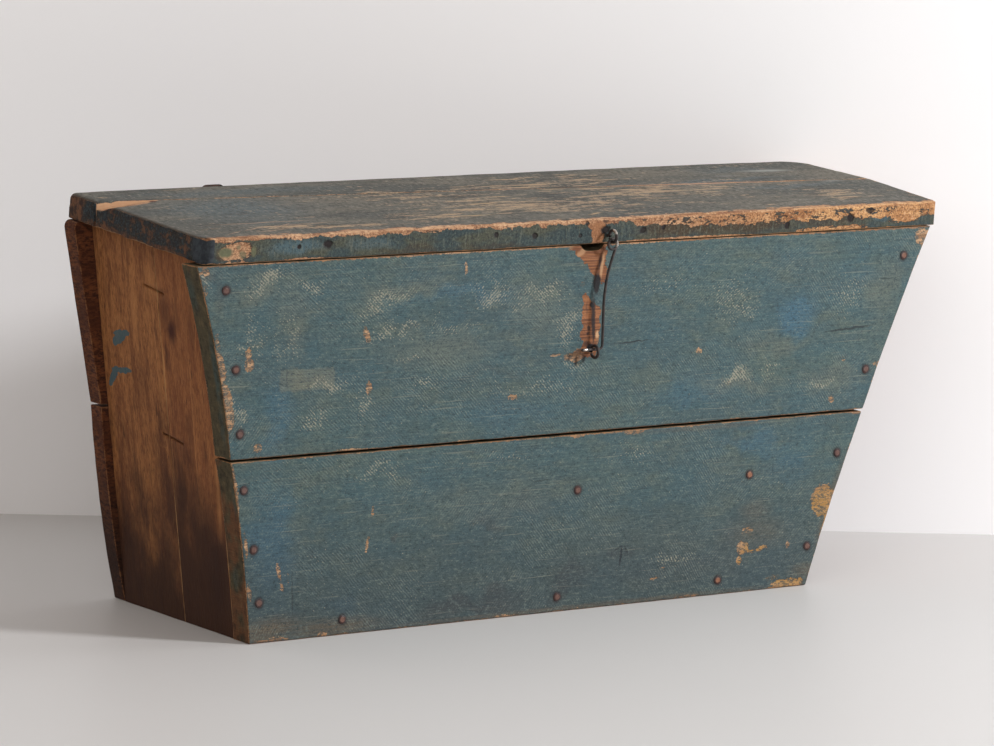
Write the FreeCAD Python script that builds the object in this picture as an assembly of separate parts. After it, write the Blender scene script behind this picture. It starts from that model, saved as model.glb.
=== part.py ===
import FreeCAD, Part
import math
import os

# Slope-sided plank chest: nailed boards, a two-board lid on iron strap hinges at the back,
# and a bent wire hook that drops through a screw eye on the front.
# Millimetres. Origin on the floor below the middle of the whole object,
# +X to the right along the front, +Y from the front to the back, +Z up.

# ---- Driving sizes: the box -------------------------------------------------------------
top_length = 881.0           # front and back boards along their top edge
depth = 252.0                # front face to back face
front_height = 363.0         # floor to the top edge at the front face
back_height = 378.3          # floor to the top edge at the back face
front_thick = 29.0
back_thick = 21.0
end_thick = 22.0
bottom_thick = 24.0
bottom_lift = 3.0            # floor boards stand clear of the ground by this
board_gap = 1.8              # shrinkage gap between two boards of one side
fit_gap = 0.15               # planed joint between two boards that meet squarely
arris = 1.6                  # worn-down outer edges

# Each side is two boards. The end of every board runs between its top corner, the seam and
# the bottom corner, given as the distance in from the top corner of that side.
front_seam_height = 176.8
front_left_seam_in = 41.8
front_left_bottom_in = 67.4
front_right_seam_in = 79.6
front_right_bottom_in = 145.0
front_upper_hollow = 4.6     # how far the left end of the upper board curves in
front_lower_hollow = 3.0
right_hollow = 2.0
back_seam_height = 196.0
back_left_top_in = 2.0
back_left_seam_in = 37.0
back_left_bottom_in = 68.6
back_lower_bulge = 3.6       # the lower back board's left end curves out instead
back_corner_round = 9.0

# End panels stand between the front and back boards, in from the boards' ends.
left_panel_top_in = 23.8
left_panel_bottom_in = 1.2
right_panel_top_in = 17.0
right_panel_bottom_in = 1.0
panel_split = 118.0          # front face to the joint of the two upright boards
bottom_split = 141.0         # front face to the joint of the two floor boards
kerf_length = 38.0           # two old saw kerfs cross the joint on the left end
kerf_height = 2.6
kerf_depth = 4.0
kerf_tilt = 8.0
kerf_low, kerf_high = 181.5, 324.5
kerf_low_ahead, kerf_high_ahead = 7.0, -6.0

# ---- Driving sizes: the lid -------------------------------------------------------------
lid_thick = 25.0
seat_gap = 0.4               # the lid lies this far above the boards' top edges
lid_front_over = 0.5
lid_left_in_front = 5.0      # from the front board's top left corner
lid_left_in_back = 14.0
lid_right_over_front = 6.0   # from the front board's top right corner
lid_right_over_seam = 23.4   # the right end reaches furthest at the seam
lid_right_over_back = 16.0
lid_seam_left = 203.0        # front edge to the seam at the left end
lid_seam_right = 134.0
lid_seam_gap = 0.9
lid_back_round = 30.0
lid_back_taper = 5.0         # the back edge comes forward by this towards its right end
lid_taper_length = 170.0
lid_front_round = 6.0
lid_arris = 2.2
clip_along, clip_foot = 11.0, 7.5      # front left corner, cut off along the front: top and foot
clip_across = 15.0                     # and along the left end
splinter_length = 62.0       # a splinter is split off the top beside the seam
splinter_width = 22.0
splinter_depth = 8.0
batten_width = 40.0
batten_thick = 18.0
batten_play = 7.0            # from a batten's end to the wall
batten_side_play = 2.5       # from a batten's side to the end panel, at the batten's foot

# ---- Driving sizes: strap hinges --------------------------------------------------------
left_hinge_in = 171.3        # end of the box's top edge to the middle of the hinge
right_hinge_in = 181.5
strap_width = 28.0
strap_thick = 1.8
strap_length = 92.0
left_leaf_rise, right_leaf_rise = 26.8, 22.0
leaf_round = 7.0
knuckle_r = 3.5
knuckle_count = 3
knuckle_gap = 0.4
knuckle_play = 0.3           # knuckle to the wood behind it
pin_r = 1.7
pin_play = 0.08
pin_head_r = 2.7
pin_head_thick = 1.3

# ---- Driving sizes: wire hook and screw eyes --------------------------------------------
wire_flats = 8               # the wire is drawn with this many flats, not perfectly round
wire_r = 1.6                 # the eyes' wire
ring_r = 5.9                 # the eyes' rings, to the middle of the wire
hook_wire_r = 1.5
hook_ring_r = 5.2
ring_sweep = 338.0           # the rings are bent, not closed
ring_cuts = 18               # flats round a ring, and along one bend of the hook
bend_cuts = 4
shank_r = 1.85               # the eyes' shank, cut with a thread
stand_off = 10.0             # ring centres in front of the front face
shank_grip = 20.0            # threaded part inside the wood
shank_point = 6.0
shank_hole_play = 0.05
upper_eye_from_middle = 29.0  # middle of the front board's top edge to the upper eye
upper_eye_rise = 8.5         # above the front board's top edge
lower_eye_left = 17.5        # the lower eye, left of the upper one
lower_eye_drop = 113.0       # the lower eye, below the upper one
hook_play = 0.3
hook_lean = 25.0             # degrees, where the shank leaves the hook's own ring
shank_offset = 9.0           # hook shank to the right of the lower eye
hook_bend_r = 4.0
tip_past_eye = 15.0
tip_lift = 2.4               # the latched tip rests this far above the eye's centre
tip_taper = 0.4              # the tip's end, as a share of the wire

# ---- Driving sizes: forged nails --------------------------------------------------------
nail_length = 58.0
nail_square = 3.6
nail_point = 1.4
nail_head_r = 5.2
nail_head_thick = 1.9
nail_head_crown = 0.9        # the part of the head's height that slopes in
nail_proud = 0.9             # the head stands out of the wood by this
nail_play = 0.1
tack_length = 17.0
tack_square = 2.4
tack_head_r = 3.2
tack_head_thick = 1.2
batten_nail_length = 36.0
batten_nails = [0.12, 0.36, 0.72, 0.94]      # shares of the batten's length
# Nails into the end panels: share of the way up each board, and distance inside the panel's face.
front_left_upper_nails = [(0.87, 6.0), (0.466, 9.4), (0.136, 8.0)]
front_left_lower_nails = [(0.84, 7.4), (0.514, 12.6), (0.222, 13.5)]
front_right_upper_nails = [(0.844, 7.0), (0.226, 10.0)]
front_right_lower_nails = [(0.762, 13.0), (0.231, 14.0)]
back_upper_nails = [(0.82, 11.0), (0.4, 11.0), (0.12, 11.0)]
back_lower_nails = [(0.82, 11.0), (0.5, 11.0), (0.22, 11.0)]
# Nails into the floor boards, and two short stray ones, as shares of the bottom edge's length.
front_floor_nails = [0.156, 0.533, 0.83]
back_floor_nails = [0.2, 0.52, 0.84]
stray_nails = [0.564, 0.883]
stray_nail_rise = 0.68       # share of the way up the lower board
stray_nail_length = 27.0

# ---- Places worked out from the sizes ---------------------------------------------------
front_reach = stand_off + ring_r + wire_r
hinge_offset = knuckle_r + knuckle_play
back_reach = hinge_offset + knuckle_r
left = -(top_length + lid_right_over_seam) / 2
right = left + top_length
middle = (left + right) / 2
front = (front_reach - back_reach - depth) / 2
back = front + depth
slope = math.atan2(back_height - front_height, depth)
hinge_y = back + hinge_offset
hinge_z = front_height + (hinge_y - front) * math.tan(slope)
X, Y, Z = FreeCAD.Vector(1, 0, 0), FreeCAD.Vector(0, 1, 0), FreeCAD.Vector(0, 0, 1)
hinge_axis = FreeCAD.Vector(0, hinge_y, hinge_z)


# ---- Shapes shared by several pieces ----------------------------------------------------
def upright(y):
    """Maps a point of an outline onto the upright plane at y."""
    return lambda u, v: FreeCAD.Vector(u, y, v)


def level(z):
    """Maps a point of an outline onto the level plane at z."""
    return lambda u, v: FreeCAD.Vector(u, v, z)


def outline(corners, place):
    """Closed wire through (u, v, round, hollow) corners.

    A corner with a round gets an arc of that radius, and a hollow bends the side from
    that corner to the next one inwards, to the left of the way round, by that much.
    """
    count = len(corners)
    starts, ends, arcs = [], [], []
    for i, (u, v, radius, hollow) in enumerate(corners):
        before, after = corners[i - 1], corners[(i + 1) % count]
        here = FreeCAD.Vector(u, v, 0)
        if not radius:
            starts.append(here)
            ends.append(here)
            continue
        to_before = (FreeCAD.Vector(before[0], before[1], 0) - here).normalize()
        to_after = (FreeCAD.Vector(after[0], after[1], 0) - here).normalize()
        half = to_before.getAngle(to_after) / 2
        inwards = (to_before + to_after).normalize()
        starts.append(here + to_before * (radius / math.tan(half)))
        ends.append(here + to_after * (radius / math.tan(half)))
        arcs.append((starts[-1], here + inwards * (radius / math.sin(half) - radius), ends[-1]))
    edges = []
    for i, (u, v, radius, hollow) in enumerate(corners):
        a, b = ends[i], starts[(i + 1) % count]
        if radius:
            first, mid, last = arcs.pop(0)
            edges.append(Part.Arc(*[place(p.x, p.y) for p in (first, mid, last)]).toShape())
        if hollow:
            inwards = Z.cross(b - a).normalize()
            mid = (a + b) * 0.5 + inwards * hollow
            edges.append(Part.Arc(*[place(p.x, p.y) for p in (a, mid, b)]).toShape())
        else:
            edges.append(Part.makeLine(place(a.x, a.y), place(b.x, b.y)))
    return Part.Wire(edges)


def plank(corners, place, along):
    """A board sawn to an outline, with its thickness along a vector."""
    return Part.Face(outline(corners, place)).extrude(along)


def edges_on(shape, test):
    """The edges whose ends and middle all pass a test."""
    def points(edge):
        middle_parameter = (edge.FirstParameter + edge.LastParameter) / 2
        return [v.Point for v in edge.Vertexes] + [edge.valueAt(middle_parameter)]
    return [edge for edge in shape.Edges if all(test(p) for p in points(edge))]


def rod(start, along, radius):
    return Part.makeCylinder(radius, along.Length, start, along)


def lid_tilt(shape):
    """Turns a shape that was drawn level down onto the sloping top of the box."""
    shape.rotate(hinge_axis, X, math.degrees(slope))
    return shape


def frustum(sides, low_r, low_z, high_r, high_z):
    """A straight-sided tapering block; its radii run from the middle to the flat sides."""
    def ring(radius, z):
        turn = math.pi / sides
        reach = radius / math.cos(turn)
        return [FreeCAD.Vector(reach * math.cos(turn * k), reach * math.sin(turn * k), z)
                for k in range(1, 2 * sides + 1, 2)]
    low, high = ring(low_r, low_z), ring(high_r, high_z)
    walls = [[low[k - 1], low[k], high[k], high[k - 1]] for k in range(sides)]
    faces = [Part.Face(Part.makePolygon(points + points[:1])) for points in walls + [low, high]]
    return Part.Solid(Part.Shell(faces))


def nail(foot, inwards, length, square, head_r, head_thick, play=0.0):
    """A forged nail: an eight-sided crowned head on a square, tapering shank.

    foot is on the wood's face, and inwards is the way it was driven. With play it is the
    hole that such a nail leaves.
    """
    under = nail_proud - head_thick - play
    if play:
        head = frustum(8, head_r + play, under, head_r + play, nail_proud + head_thick)
    else:
        rim = nail_proud - nail_head_crown
        head = frustum(8, head_r, under, head_r, rim).fuse(frustum(8, head_r, rim, head_r * 0.62, nail_proud))
    shank = frustum(4, nail_point / 2 + play, -length - play, square / 2 + play, under + head_thick / 4)
    solid = head.fuse(shank).removeSplitter().Solids[0]
    solid.Placement = FreeCAD.Placement(foot, FreeCAD.Rotation(Z, inwards * -1))
    return solid


parts = {}
nail_groups = {}


def drive(group, foot, inwards, boards, length=nail_length, square=nail_square,
          head_r=nail_head_r, head_thick=nail_head_thick):
    """Drives one nail of a group through boards that get its hole."""
    size = (foot, inwards, length, square, head_r, head_thick)
    nail_groups.setdefault(group, []).append(nail(*size))
    hole = nail(*size, play=nail_play)
    for name in boards:
        parts[name] = parts[name].cut(hole)


# ---- Front and back: two boards each, their ends sawn to the slope ----------------------
def above_the_box():
    """Everything above the sloping plane that the lid lies on."""
    reach = 4 * top_length
    block = Part.makeBox(reach, reach, reach, FreeCAD.Vector(-reach / 2, hinge_y - reach / 2, hinge_z))
    return lid_tilt(block)


waste = above_the_box()
front_ends = {
    "top": (left, right, front_height),
    "seam": (left + front_left_seam_in, right - front_right_seam_in, front_seam_height),
    "bottom": (left + front_left_bottom_in, right - front_right_bottom_in, 0.0),
}
back_ends = {
    "top": (left + back_left_top_in, right, back_height),
    "seam": (left + back_left_seam_in, right - front_right_seam_in, back_seam_height),
    "bottom": (left + back_left_bottom_in, right - front_right_bottom_in, 0.0),
}


def side_board(low, high, lift_low, drop_high, left_hollow, y, thick, outer_y, corner_round=0.0):
    """One board of the front or back, its outer arrises worn down."""
    corners = [
        (low[0], low[2] + lift_low, 0, 0),
        (low[1], low[2] + lift_low, 0, right_hollow),
        (high[1], high[2] - drop_high, 0, 0),
        (high[0], high[2] - drop_high, corner_round, left_hollow),
    ]
    board = plank(corners, upright(y), Y * thick)
    return board.makeChamfer(arris, edges_on(board, lambda p: abs(p.y - outer_y) < 1e-6))


half_gap = board_gap / 2
parts["front_board_lower"] = side_board(front_ends["bottom"], front_ends["seam"], 0, half_gap,
                                        front_lower_hollow, front, front_thick, front)
parts["front_board_upper"] = side_board(front_ends["seam"], front_ends["top"], half_gap, 0,
                                        front_upper_hollow, front, front_thick, front)
back_inside = back - back_thick
parts["back_board_lower"] = side_board(back_ends["bottom"], back_ends["seam"], 0, half_gap,
                                       -back_lower_bulge, back_inside, back_thick, back)
parts["back_board_upper"] = side_board(back_ends["seam"], back_ends["top"], half_gap, 0,
                                       0.0, back_inside, back_thick, back, back_corner_round).cut(waste)

# ---- Ends: upright boards on the slope, between the front and the back ------------------
front_inside = front + front_thick
left_foot = front_ends["bottom"][0] + left_panel_bottom_in
left_head = left + left_panel_top_in
right_foot = front_ends["bottom"][1] - right_panel_bottom_in
right_head = right - right_panel_top_in
left_lean = (left_head - left_foot) / front_height      # sideways run per millimetre of height
right_lean = (right_head - right_foot) / front_height
left_across = end_thick * math.hypot(1, left_lean)      # level measure through the sloping board
right_across = -end_thick * math.hypot(1, right_lean)


def left_face(z):
    return left_foot + left_lean * z


def right_face(z):
    return right_foot + right_lean * z


def end_board(face, across, y_low, y_high):
    over = back_height + lid_thick
    inner, outer = sorted((0.0, across))
    corners = [(face(0) + inner, 0, 0, 0), (face(0) + outer, 0, 0, 0),
               (face(over) + outer, over, 0, 0), (face(over) + inner, over, 0, 0)]
    board = plank(corners, upright(y_low), Y * (y_high - y_low))
    return board.cut(waste)


joint = front + panel_split
spans = {"front": (front_inside + fit_gap, joint - fit_gap / 2),
         "back": (joint + fit_gap / 2, back_inside - fit_gap)}
for place_name, (y_low, y_high) in spans.items():
    parts["left_end_board_" + place_name] = end_board(left_face, left_across, y_low, y_high)
    parts["right_end_board_" + place_name] = end_board(right_face, right_across, y_low, y_high)

for height, ahead in ((kerf_low, kerf_low_ahead), (kerf_high, kerf_high_ahead)):
    kerf_y = joint - ahead
    start = FreeCAD.Vector(left_face(height) - kerf_depth, kerf_y - kerf_length / 2, height)
    kerf = Part.makeBox(2 * kerf_depth, kerf_length, kerf_height, start)
    kerf.rotate(FreeCAD.Vector(0, kerf_y, height), X, kerf_tilt)
    for place_name in spans:
        name = "left_end_board_" + place_name
        parts[name] = parts[name].cut(kerf)

# ---- Floor: two boards between all four sides -------------------------------------------
floor_low, floor_high = bottom_lift, bottom_lift + bottom_thick
floor_spans = {"front": (front_inside + fit_gap, front + bottom_split - half_gap),
               "back": (front + bottom_split + half_gap, back_inside - fit_gap)}
for place_name, (y_low, y_high) in floor_spans.items():
    corners = [(left_face(floor_low) + left_across + fit_gap, floor_low, 0, 0),
               (right_face(floor_low) + right_across - fit_gap, floor_low, 0, 0),
               (right_face(floor_high) + right_across - fit_gap, floor_high, 0, 0),
               (left_face(floor_high) + left_across + fit_gap, floor_high, 0, 0)]
    parts["bottom_board_" + place_name] = plank(corners, upright(y_low), Y * (y_high - y_low))

# ---- Lid: two tapered boards laid head to tail, drawn level and then tilted -------------
lid_under = hinge_z + seat_gap
lid_top = lid_under + lid_thick
lid_back = hinge_y - hinge_offset
lid_front = hinge_y - (hinge_y - front) / math.cos(slope) - lid_front_over
lid_length_y = lid_back - lid_front


def lid_left(y):
    share = (y - lid_front) / lid_length_y
    return left + lid_left_in_front + (lid_left_in_back - lid_left_in_front) * share


seam_left_y, seam_right_y = lid_front + lid_seam_left, lid_front + lid_seam_right
seam_half = lid_seam_gap / 2
front_plan = [
    (lid_left(lid_front), lid_front, 0, 0),
    (right + lid_right_over_front, lid_front, lid_front_round, 0),
    (right + lid_right_over_seam, seam_right_y - seam_half, 0, 0),
    (lid_left(seam_left_y), seam_left_y - seam_half, 0, 0),
]
back_plan = [
    (lid_left(seam_left_y), seam_left_y + seam_half, 0, 0),
    (right + lid_right_over_seam, seam_right_y + seam_half, 0, 0),
    (right + lid_right_over_back, lid_back - lid_back_taper, lid_back_round, 0),
    (right + lid_right_over_back - lid_taper_length, lid_back, 0, 0),
    (lid_left(lid_back), lid_back, 0, 0),
]


def lid_board(plan):
    board = plank(plan, level(lid_under), Z * lid_thick)
    return board.makeChamfer(lid_arris, edges_on(board, lambda p: abs(p.z - lid_top) < 1e-6))


# The front left corner is cut off on the slant, and the splinter is a ramp beside the seam.
corner = FreeCAD.Vector(lid_left(lid_front), lid_front, lid_top)
spread = 6.0
chip_points = [corner + X * clip_along, corner + Y * clip_across, corner + X * clip_foot - Z * lid_thick]
chip_centre = (chip_points[0] + chip_points[1] + chip_points[2]) * (1 / 3)
chip_wide = [chip_centre + (p - chip_centre) * spread for p in chip_points]
chip_out = (chip_points[1] - chip_points[0]).cross(chip_points[2] - chip_points[0]).normalize()
if chip_out.dot(corner - chip_centre) < 0:
    chip_out = chip_out * -1
chip = Part.Face(Part.makePolygon(chip_wide + chip_wide[:1])).extrude(chip_out * (clip_along * spread))

splinter_x = lid_left(seam_left_y)
ramp = [(splinter_x - splinter_depth, lid_top - splinter_depth, 0, 0),
        (splinter_x + splinter_length * 0.3, lid_top - splinter_depth * 0.55, 0, 0),
        (splinter_x + splinter_length, lid_top, 0, 0),
        (splinter_x - splinter_depth, lid_top + splinter_depth, 0, 0)]
splinter = plank(ramp, upright(seam_left_y - splinter_width), Y * (splinter_width + seam_half))
parts["lid_board_front"] = lid_board(front_plan).cut(chip).cut(splinter)
parts["lid_board_back"] = lid_board(back_plan)

batten_low, batten_high = front_inside + batten_play, back_inside - batten_play
batten_round = 3.0
batten_foot = min(front_height, back_height) - 1.1 * batten_thick
batten_spots = {
    "left": left_face(batten_foot) + left_across + batten_side_play,
    "right": right_face(batten_foot) + right_across - batten_side_play - batten_width,
}
for side, x in batten_spots.items():
    batten = Part.makeBox(batten_width, batten_high - batten_low, batten_thick,
                          FreeCAD.Vector(x, batten_low, lid_under - batten_thick))
    lower = edges_on(batten, lambda p: abs(p.z - (lid_under - batten_thick)) < 1e-6)
    parts["lid_batten_" + side] = batten.makeChamfer(batten_round, lower)
    # Four nails, driven up through the batten into both lid boards.
    for share in batten_nails:
        foot = FreeCAD.Vector(x + batten_width / 2, batten_low + share * (batten_high - batten_low),
                              lid_under - batten_thick)
        drive("nails_lid", foot, Z, ["lid_batten_" + side, "lid_board_front", "lid_board_back"],
              length=batten_nail_length)

# ---- Strap hinges: knuckles of strap and leaf interleave on a loose pin -----------------
knuckle_pitch = strap_width / knuckle_count
eye_play = knuckle_gap / 2


def knuckles(x, wanted):
    """The barrel sections of one hinge half, and the clearance round the other half's."""
    barrel, space = [], []
    for k in range(knuckle_count):
        start = x - strap_width / 2 + k * knuckle_pitch
        if k % 2 == wanted:
            barrel.append(rod(FreeCAD.Vector(start + eye_play, hinge_y, hinge_z),
                              X * (knuckle_pitch - knuckle_gap), knuckle_r))
        else:
            space.append(rod(FreeCAD.Vector(start - eye_play, hinge_y, hinge_z),
                             X * (knuckle_pitch + knuckle_gap), knuckle_r + knuckle_gap))
    return barrel, space


def hinge_half(x, wanted, far_z, round_r):
    """A flat strap on the wood from the pin's height to far_z, with its knuckles."""
    sides = [(x - strap_width / 2, far_z, round_r, 0), (x + strap_width / 2, far_z, round_r, 0),
             (x + strap_width / 2, hinge_z, 0, 0), (x - strap_width / 2, hinge_z, 0, 0)]
    plate = plank(sides, upright(back), Y * strap_thick)
    barrel, space = knuckles(x, wanted)
    bore = rod(FreeCAD.Vector(x - strap_width, hinge_y, hinge_z), X * (2 * strap_width), pin_r + pin_play)
    for piece in barrel:
        plate = plate.fuse(piece)
    for piece in space + [bore]:
        plate = plate.cut(piece)
    return plate.removeSplitter()


hinge_spots = {"left": left + left_hinge_in, "right": right - right_hinge_in}
leaf_rise = {"left": left_leaf_rise, "right": right_leaf_rise}
strap_names, leaf_names = {}, {}
for side, x in hinge_spots.items():
    strap_names[side], leaf_names[side] = "hinge_strap_" + side, "hinge_leaf_" + side
    strap = hinge_half(x, 0, hinge_z - strap_length, strap_width / 2 - 0.01)
    parts[strap_names[side]] = strap
    parts[leaf_names[side]] = hinge_half(x, 1, hinge_z + leaf_rise[side], leaf_round)
    head_gap = eye_play
    end = FreeCAD.Vector(x - strap_width / 2 - head_gap, hinge_y, hinge_z)
    pin = rod(end, X * (strap_width + 2 * head_gap), pin_r)
    pin = pin.fuse(rod(end - X * pin_head_thick, X * pin_head_thick, pin_head_r))
    pin = pin.fuse(rod(end + X * (strap_width + 2 * head_gap), X * pin_head_thick, pin_head_r))
    parts["hinge_pin_" + side] = pin.removeSplitter()

tack = {"length": tack_length, "square": tack_square, "head_r": tack_head_r, "head_thick": tack_head_thick}
for side, x in hinge_spots.items():
    for share in (0.2, 0.52, 0.86):
        foot = FreeCAD.Vector(x, back + strap_thick, hinge_z - share * strap_length)
        drive("nails_hinge_straps", foot, Y * -1, [strap_names[side], "back_board_upper"], **tack)
    for step in (-1, 1):
        foot = FreeCAD.Vector(x + step * strap_width / 4, back + strap_thick, lid_under + lid_thick / 2)
        drive("nails_hinge_leaves", foot, Y * -1, [leaf_names[side], "lid_board_back"], **tack)

# ---- The lid's pieces go down onto the slope, turned about the hinge axis ---------------
for name in ("lid_board_front", "lid_board_back", "lid_batten_left", "lid_batten_right",
             "hinge_leaf_left", "hinge_leaf_right"):
    parts[name] = lid_tilt(parts[name])
for group in ("nails_lid", "nails_hinge_leaves"):
    nail_groups[group] = [lid_tilt(solid) for solid in nail_groups[group]]

# ---- Screw eyes and the wire hook -------------------------------------------------------
upper_eye = FreeCAD.Vector(middle + upper_eye_from_middle, front - stand_off, front_height + upper_eye_rise)
lower_eye = upper_eye - X * lower_eye_left - Z * lower_eye_drop


def wire_section(radius, centre, along, flat_to):
    """The corners of a wire's cross-section, with one flat facing flat_to."""
    side = along.cross(flat_to).normalize()
    reach = radius / math.cos(math.pi / wire_flats)
    turns = [math.pi * (2 * k + 1) / wire_flats for k in range(wire_flats)]
    return [centre + (flat_to * math.cos(t) + side * math.sin(t)) * reach for t in turns]


def bent(section, centre, axis, degrees, cuts):
    """The sections that follow one where the wire bends round a centre."""
    turns = [FreeCAD.Rotation(axis, degrees * k / cuts) for k in range(1, cuts + 1)]
    return [[centre + turn.multVec(p - centre) for p in section] for turn in turns]


def straight(section, run):
    """The section at the far end of a straight run."""
    return [p + run for p in section]


def wire(sections):
    """A length of wire as a solid, flat-sided from each section to the next."""
    faces = [Part.Face(Part.makePolygon(end + end[:1])) for end in (sections[0], sections[-1])]
    for near, far in zip(sections, sections[1:]):
        for k in range(wire_flats):
            corners = [near[k - 1], near[k], far[k], far[k - 1]]
            faces.append(Part.Face(Part.makePolygon(corners + corners[:1])))
    solid = Part.Solid(Part.Shell(faces))
    if solid.Volume < 0:
        solid.reverse()
    return solid


def screw_shank(neck, play):
    """The straight grip and the point that are turned into the wood."""
    grip = stand_off - ring_r + shank_grip - shank_point
    shank = frustum(wire_flats, shank_r + play, 0.0, shank_r + play, grip)
    shank = shank.fuse(frustum(wire_flats, shank_r + play, grip, shank_r / 4 + play, grip + shank_point))
    shank = shank.removeSplitter().Solids[0]
    shank.Placement = FreeCAD.Placement(neck, FreeCAD.Rotation(Z, Y))
    return shank


def screw_eye(centre):
    """A ring that stands upright, square to the face, on a shank driven into the wood."""
    neck = centre + Y * ring_r
    start = wire_section(wire_r, neck, Z, Y)
    ring = wire([start] + bent(start, centre, X, ring_sweep, ring_cuts))
    return screw_shank(neck, 0.0).fuse(ring).removeSplitter()


for name, centre, board in (("upper_screw_eye", upper_eye, "lid_board_front"),
                            ("lower_screw_eye", lower_eye, "front_board_upper")):
    parts[name] = screw_eye(centre)
    parts[board] = parts[board].cut(screw_shank(centre + Y * ring_r, shank_hole_play))

# The hook hangs on the bottom of the upper ring: that wire is its pivot. Its shank leaves
# its own ring at a slant, sweeps down to the upright, and ends in a tip bent to the left.
pivot = upper_eye - Z * ring_r
hook_ring = pivot + Z * (wire_r + hook_play + hook_wire_r - hook_ring_r)
lean = math.radians(hook_lean)
outwards = X * math.cos(lean) - Z * math.sin(lean)
way_down = X * -math.sin(lean) - Z * math.cos(lean)
leave = hook_ring + outwards * hook_ring_r
shank_x = lower_eye.x + shank_offset
sweep_r = (leave.x - shank_x) / (1 - math.cos(lean))
sweep_centre = FreeCAD.Vector(shank_x + sweep_r, leave.y, leave.z - sweep_r * math.sin(lean))
tip_z = lower_eye.z + tip_lift
bend_centre = FreeCAD.Vector(shank_x - hook_bend_r, leave.y, tip_z + hook_bend_r)
tip = FreeCAD.Vector(lower_eye.x - tip_past_eye, leave.y, tip_z)

start = wire_section(hook_wire_r, leave, way_down, outwards)
shank = [start] + bent(start, sweep_centre, Y * -1, hook_lean, bend_cuts)
shank.append(straight(shank[-1], Z * (bend_centre.z - sweep_centre.z)))
shank += bent(shank[-1], bend_centre, Y, 90.0, bend_cuts)
shank.append(straight(shank[-1], X * (tip.x - bend_centre.x)))
shank.append([tip + (p - tip) * tip_taper - X * hook_wire_r for p in shank[-1]])
ring = [start] + bent(start, hook_ring, Y * -1, ring_sweep, ring_cuts)
parts["hook"] = wire(shank).fuse(wire(ring)).removeSplitter()

# ---- Nails that hold the box together ---------------------------------------------------
seams = {"front": front_seam_height, "back": back_seam_height}
tops = {"front": front_height, "back": back_height}
walls = {"front": (front, Y), "back": (back, Y * -1)}


def nail_column(group, wall, side, upper_nails, lower_nails):
    """One column of nails through the front or back into the edge of an end panel."""
    y, inwards = walls[wall]
    for level_name, nails, low, high in (("upper", upper_nails, seams[wall], tops[wall]),
                                         ("lower", lower_nails, 0.0, seams[wall])):
        for share, inside in nails:
            z = low + share * (high - low)
            x = left_face(z) + inside if side == "left" else right_face(z) - inside
            boards = ["%s_board_%s" % (wall, level_name), "%s_end_board_%s" % (side, wall)]
            drive(group, FreeCAD.Vector(x, y, z), inwards, boards)


nail_column("nails_front_left", "front", "left", front_left_upper_nails, front_left_lower_nails)
nail_column("nails_front_right", "front", "right", front_right_upper_nails, front_right_lower_nails)
nail_column("nails_back_left", "back", "left", back_upper_nails, back_lower_nails)
nail_column("nails_back_right", "back", "right", back_upper_nails, back_lower_nails)

floor_mid = (floor_low + floor_high) / 2
foot_left, foot_right = front_ends["bottom"][0], front_ends["bottom"][1]
for wall, shares in (("front", front_floor_nails), ("back", back_floor_nails)):
    y, inwards = walls[wall]
    for share in shares:
        foot = FreeCAD.Vector(foot_left + share * (foot_right - foot_left), y, floor_mid)
        drive("nails_%s_bottom" % wall, foot, inwards, [wall + "_board_lower", "bottom_board_" + wall])
for share in stray_nails:
    x = foot_left + share * (foot_right - foot_left)
    foot = FreeCAD.Vector(x, front, stray_nail_rise * front_seam_height)
    drive("nails_front_bottom", foot, Y, ["front_board_lower"], length=stray_nail_length)

# ---- One STEP file for each piece -------------------------------------------------------
os.makedirs("parts", exist_ok=True)
for group, solids in nail_groups.items():
    parts[group] = Part.makeCompound(solids)
for name, shape in parts.items():
    solids = shape.Solids
    piece = solids[0] if len(solids) == 1 else Part.makeCompound(solids)
    piece.exportStep("parts/%s.step" % name)
    box = piece.BoundBox
    print("%-24s solids %2d volume %11.1f  x %8.2f %8.2f  y %8.2f %8.2f  z %8.2f %8.2f"
          % (name, len(solids), piece.Volume, box.XMin, box.XMax, box.YMin, box.YMax, box.ZMin, box.ZMax))
print("hinge axis y %.4f z %.4f" % (hinge_y, hinge_z))
print("hook pivot x %.4f y %.4f z %.4f" % (pivot.x, pivot.y, pivot.z))
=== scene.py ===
import bmesh
import bpy
import math
from mathutils import Matrix, Vector, noise


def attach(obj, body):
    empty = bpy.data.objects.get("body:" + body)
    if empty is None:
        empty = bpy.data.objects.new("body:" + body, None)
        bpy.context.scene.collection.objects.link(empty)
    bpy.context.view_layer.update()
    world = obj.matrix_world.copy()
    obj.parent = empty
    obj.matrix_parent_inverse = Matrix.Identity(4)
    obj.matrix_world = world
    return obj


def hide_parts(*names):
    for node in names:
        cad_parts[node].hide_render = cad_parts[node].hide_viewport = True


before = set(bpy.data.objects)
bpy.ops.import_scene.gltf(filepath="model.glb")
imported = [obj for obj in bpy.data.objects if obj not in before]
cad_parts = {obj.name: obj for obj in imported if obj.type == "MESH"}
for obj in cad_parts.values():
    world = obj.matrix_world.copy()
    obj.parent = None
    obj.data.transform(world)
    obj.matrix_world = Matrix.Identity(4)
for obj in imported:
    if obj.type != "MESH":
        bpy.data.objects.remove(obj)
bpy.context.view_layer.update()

# ---- Front boards ------------------------------------------------------------------------
# Two wide pine boards, one above the other, sawn at both ends to the slope of the chest and
# nailed on to the front edges of the end boards. They still show the saw, and their greyish
# teal paint has worn back to the wood along the arrises and wherever something rubbed.
front_y = -0.1209
front_thick = 0.029
half_gap = 0.0009
front_top = 0.363
front_seam = 0.1768
top_left, top_right = -0.4522, 0.4288
front_ends = {front_top: (top_left, top_right), front_seam: (-0.4104, 0.3492), 0.0: (-0.3848, 0.2838)}
right_hollow = 0.002
left_lean, right_lean = 0.12342, 0.35537


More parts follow.
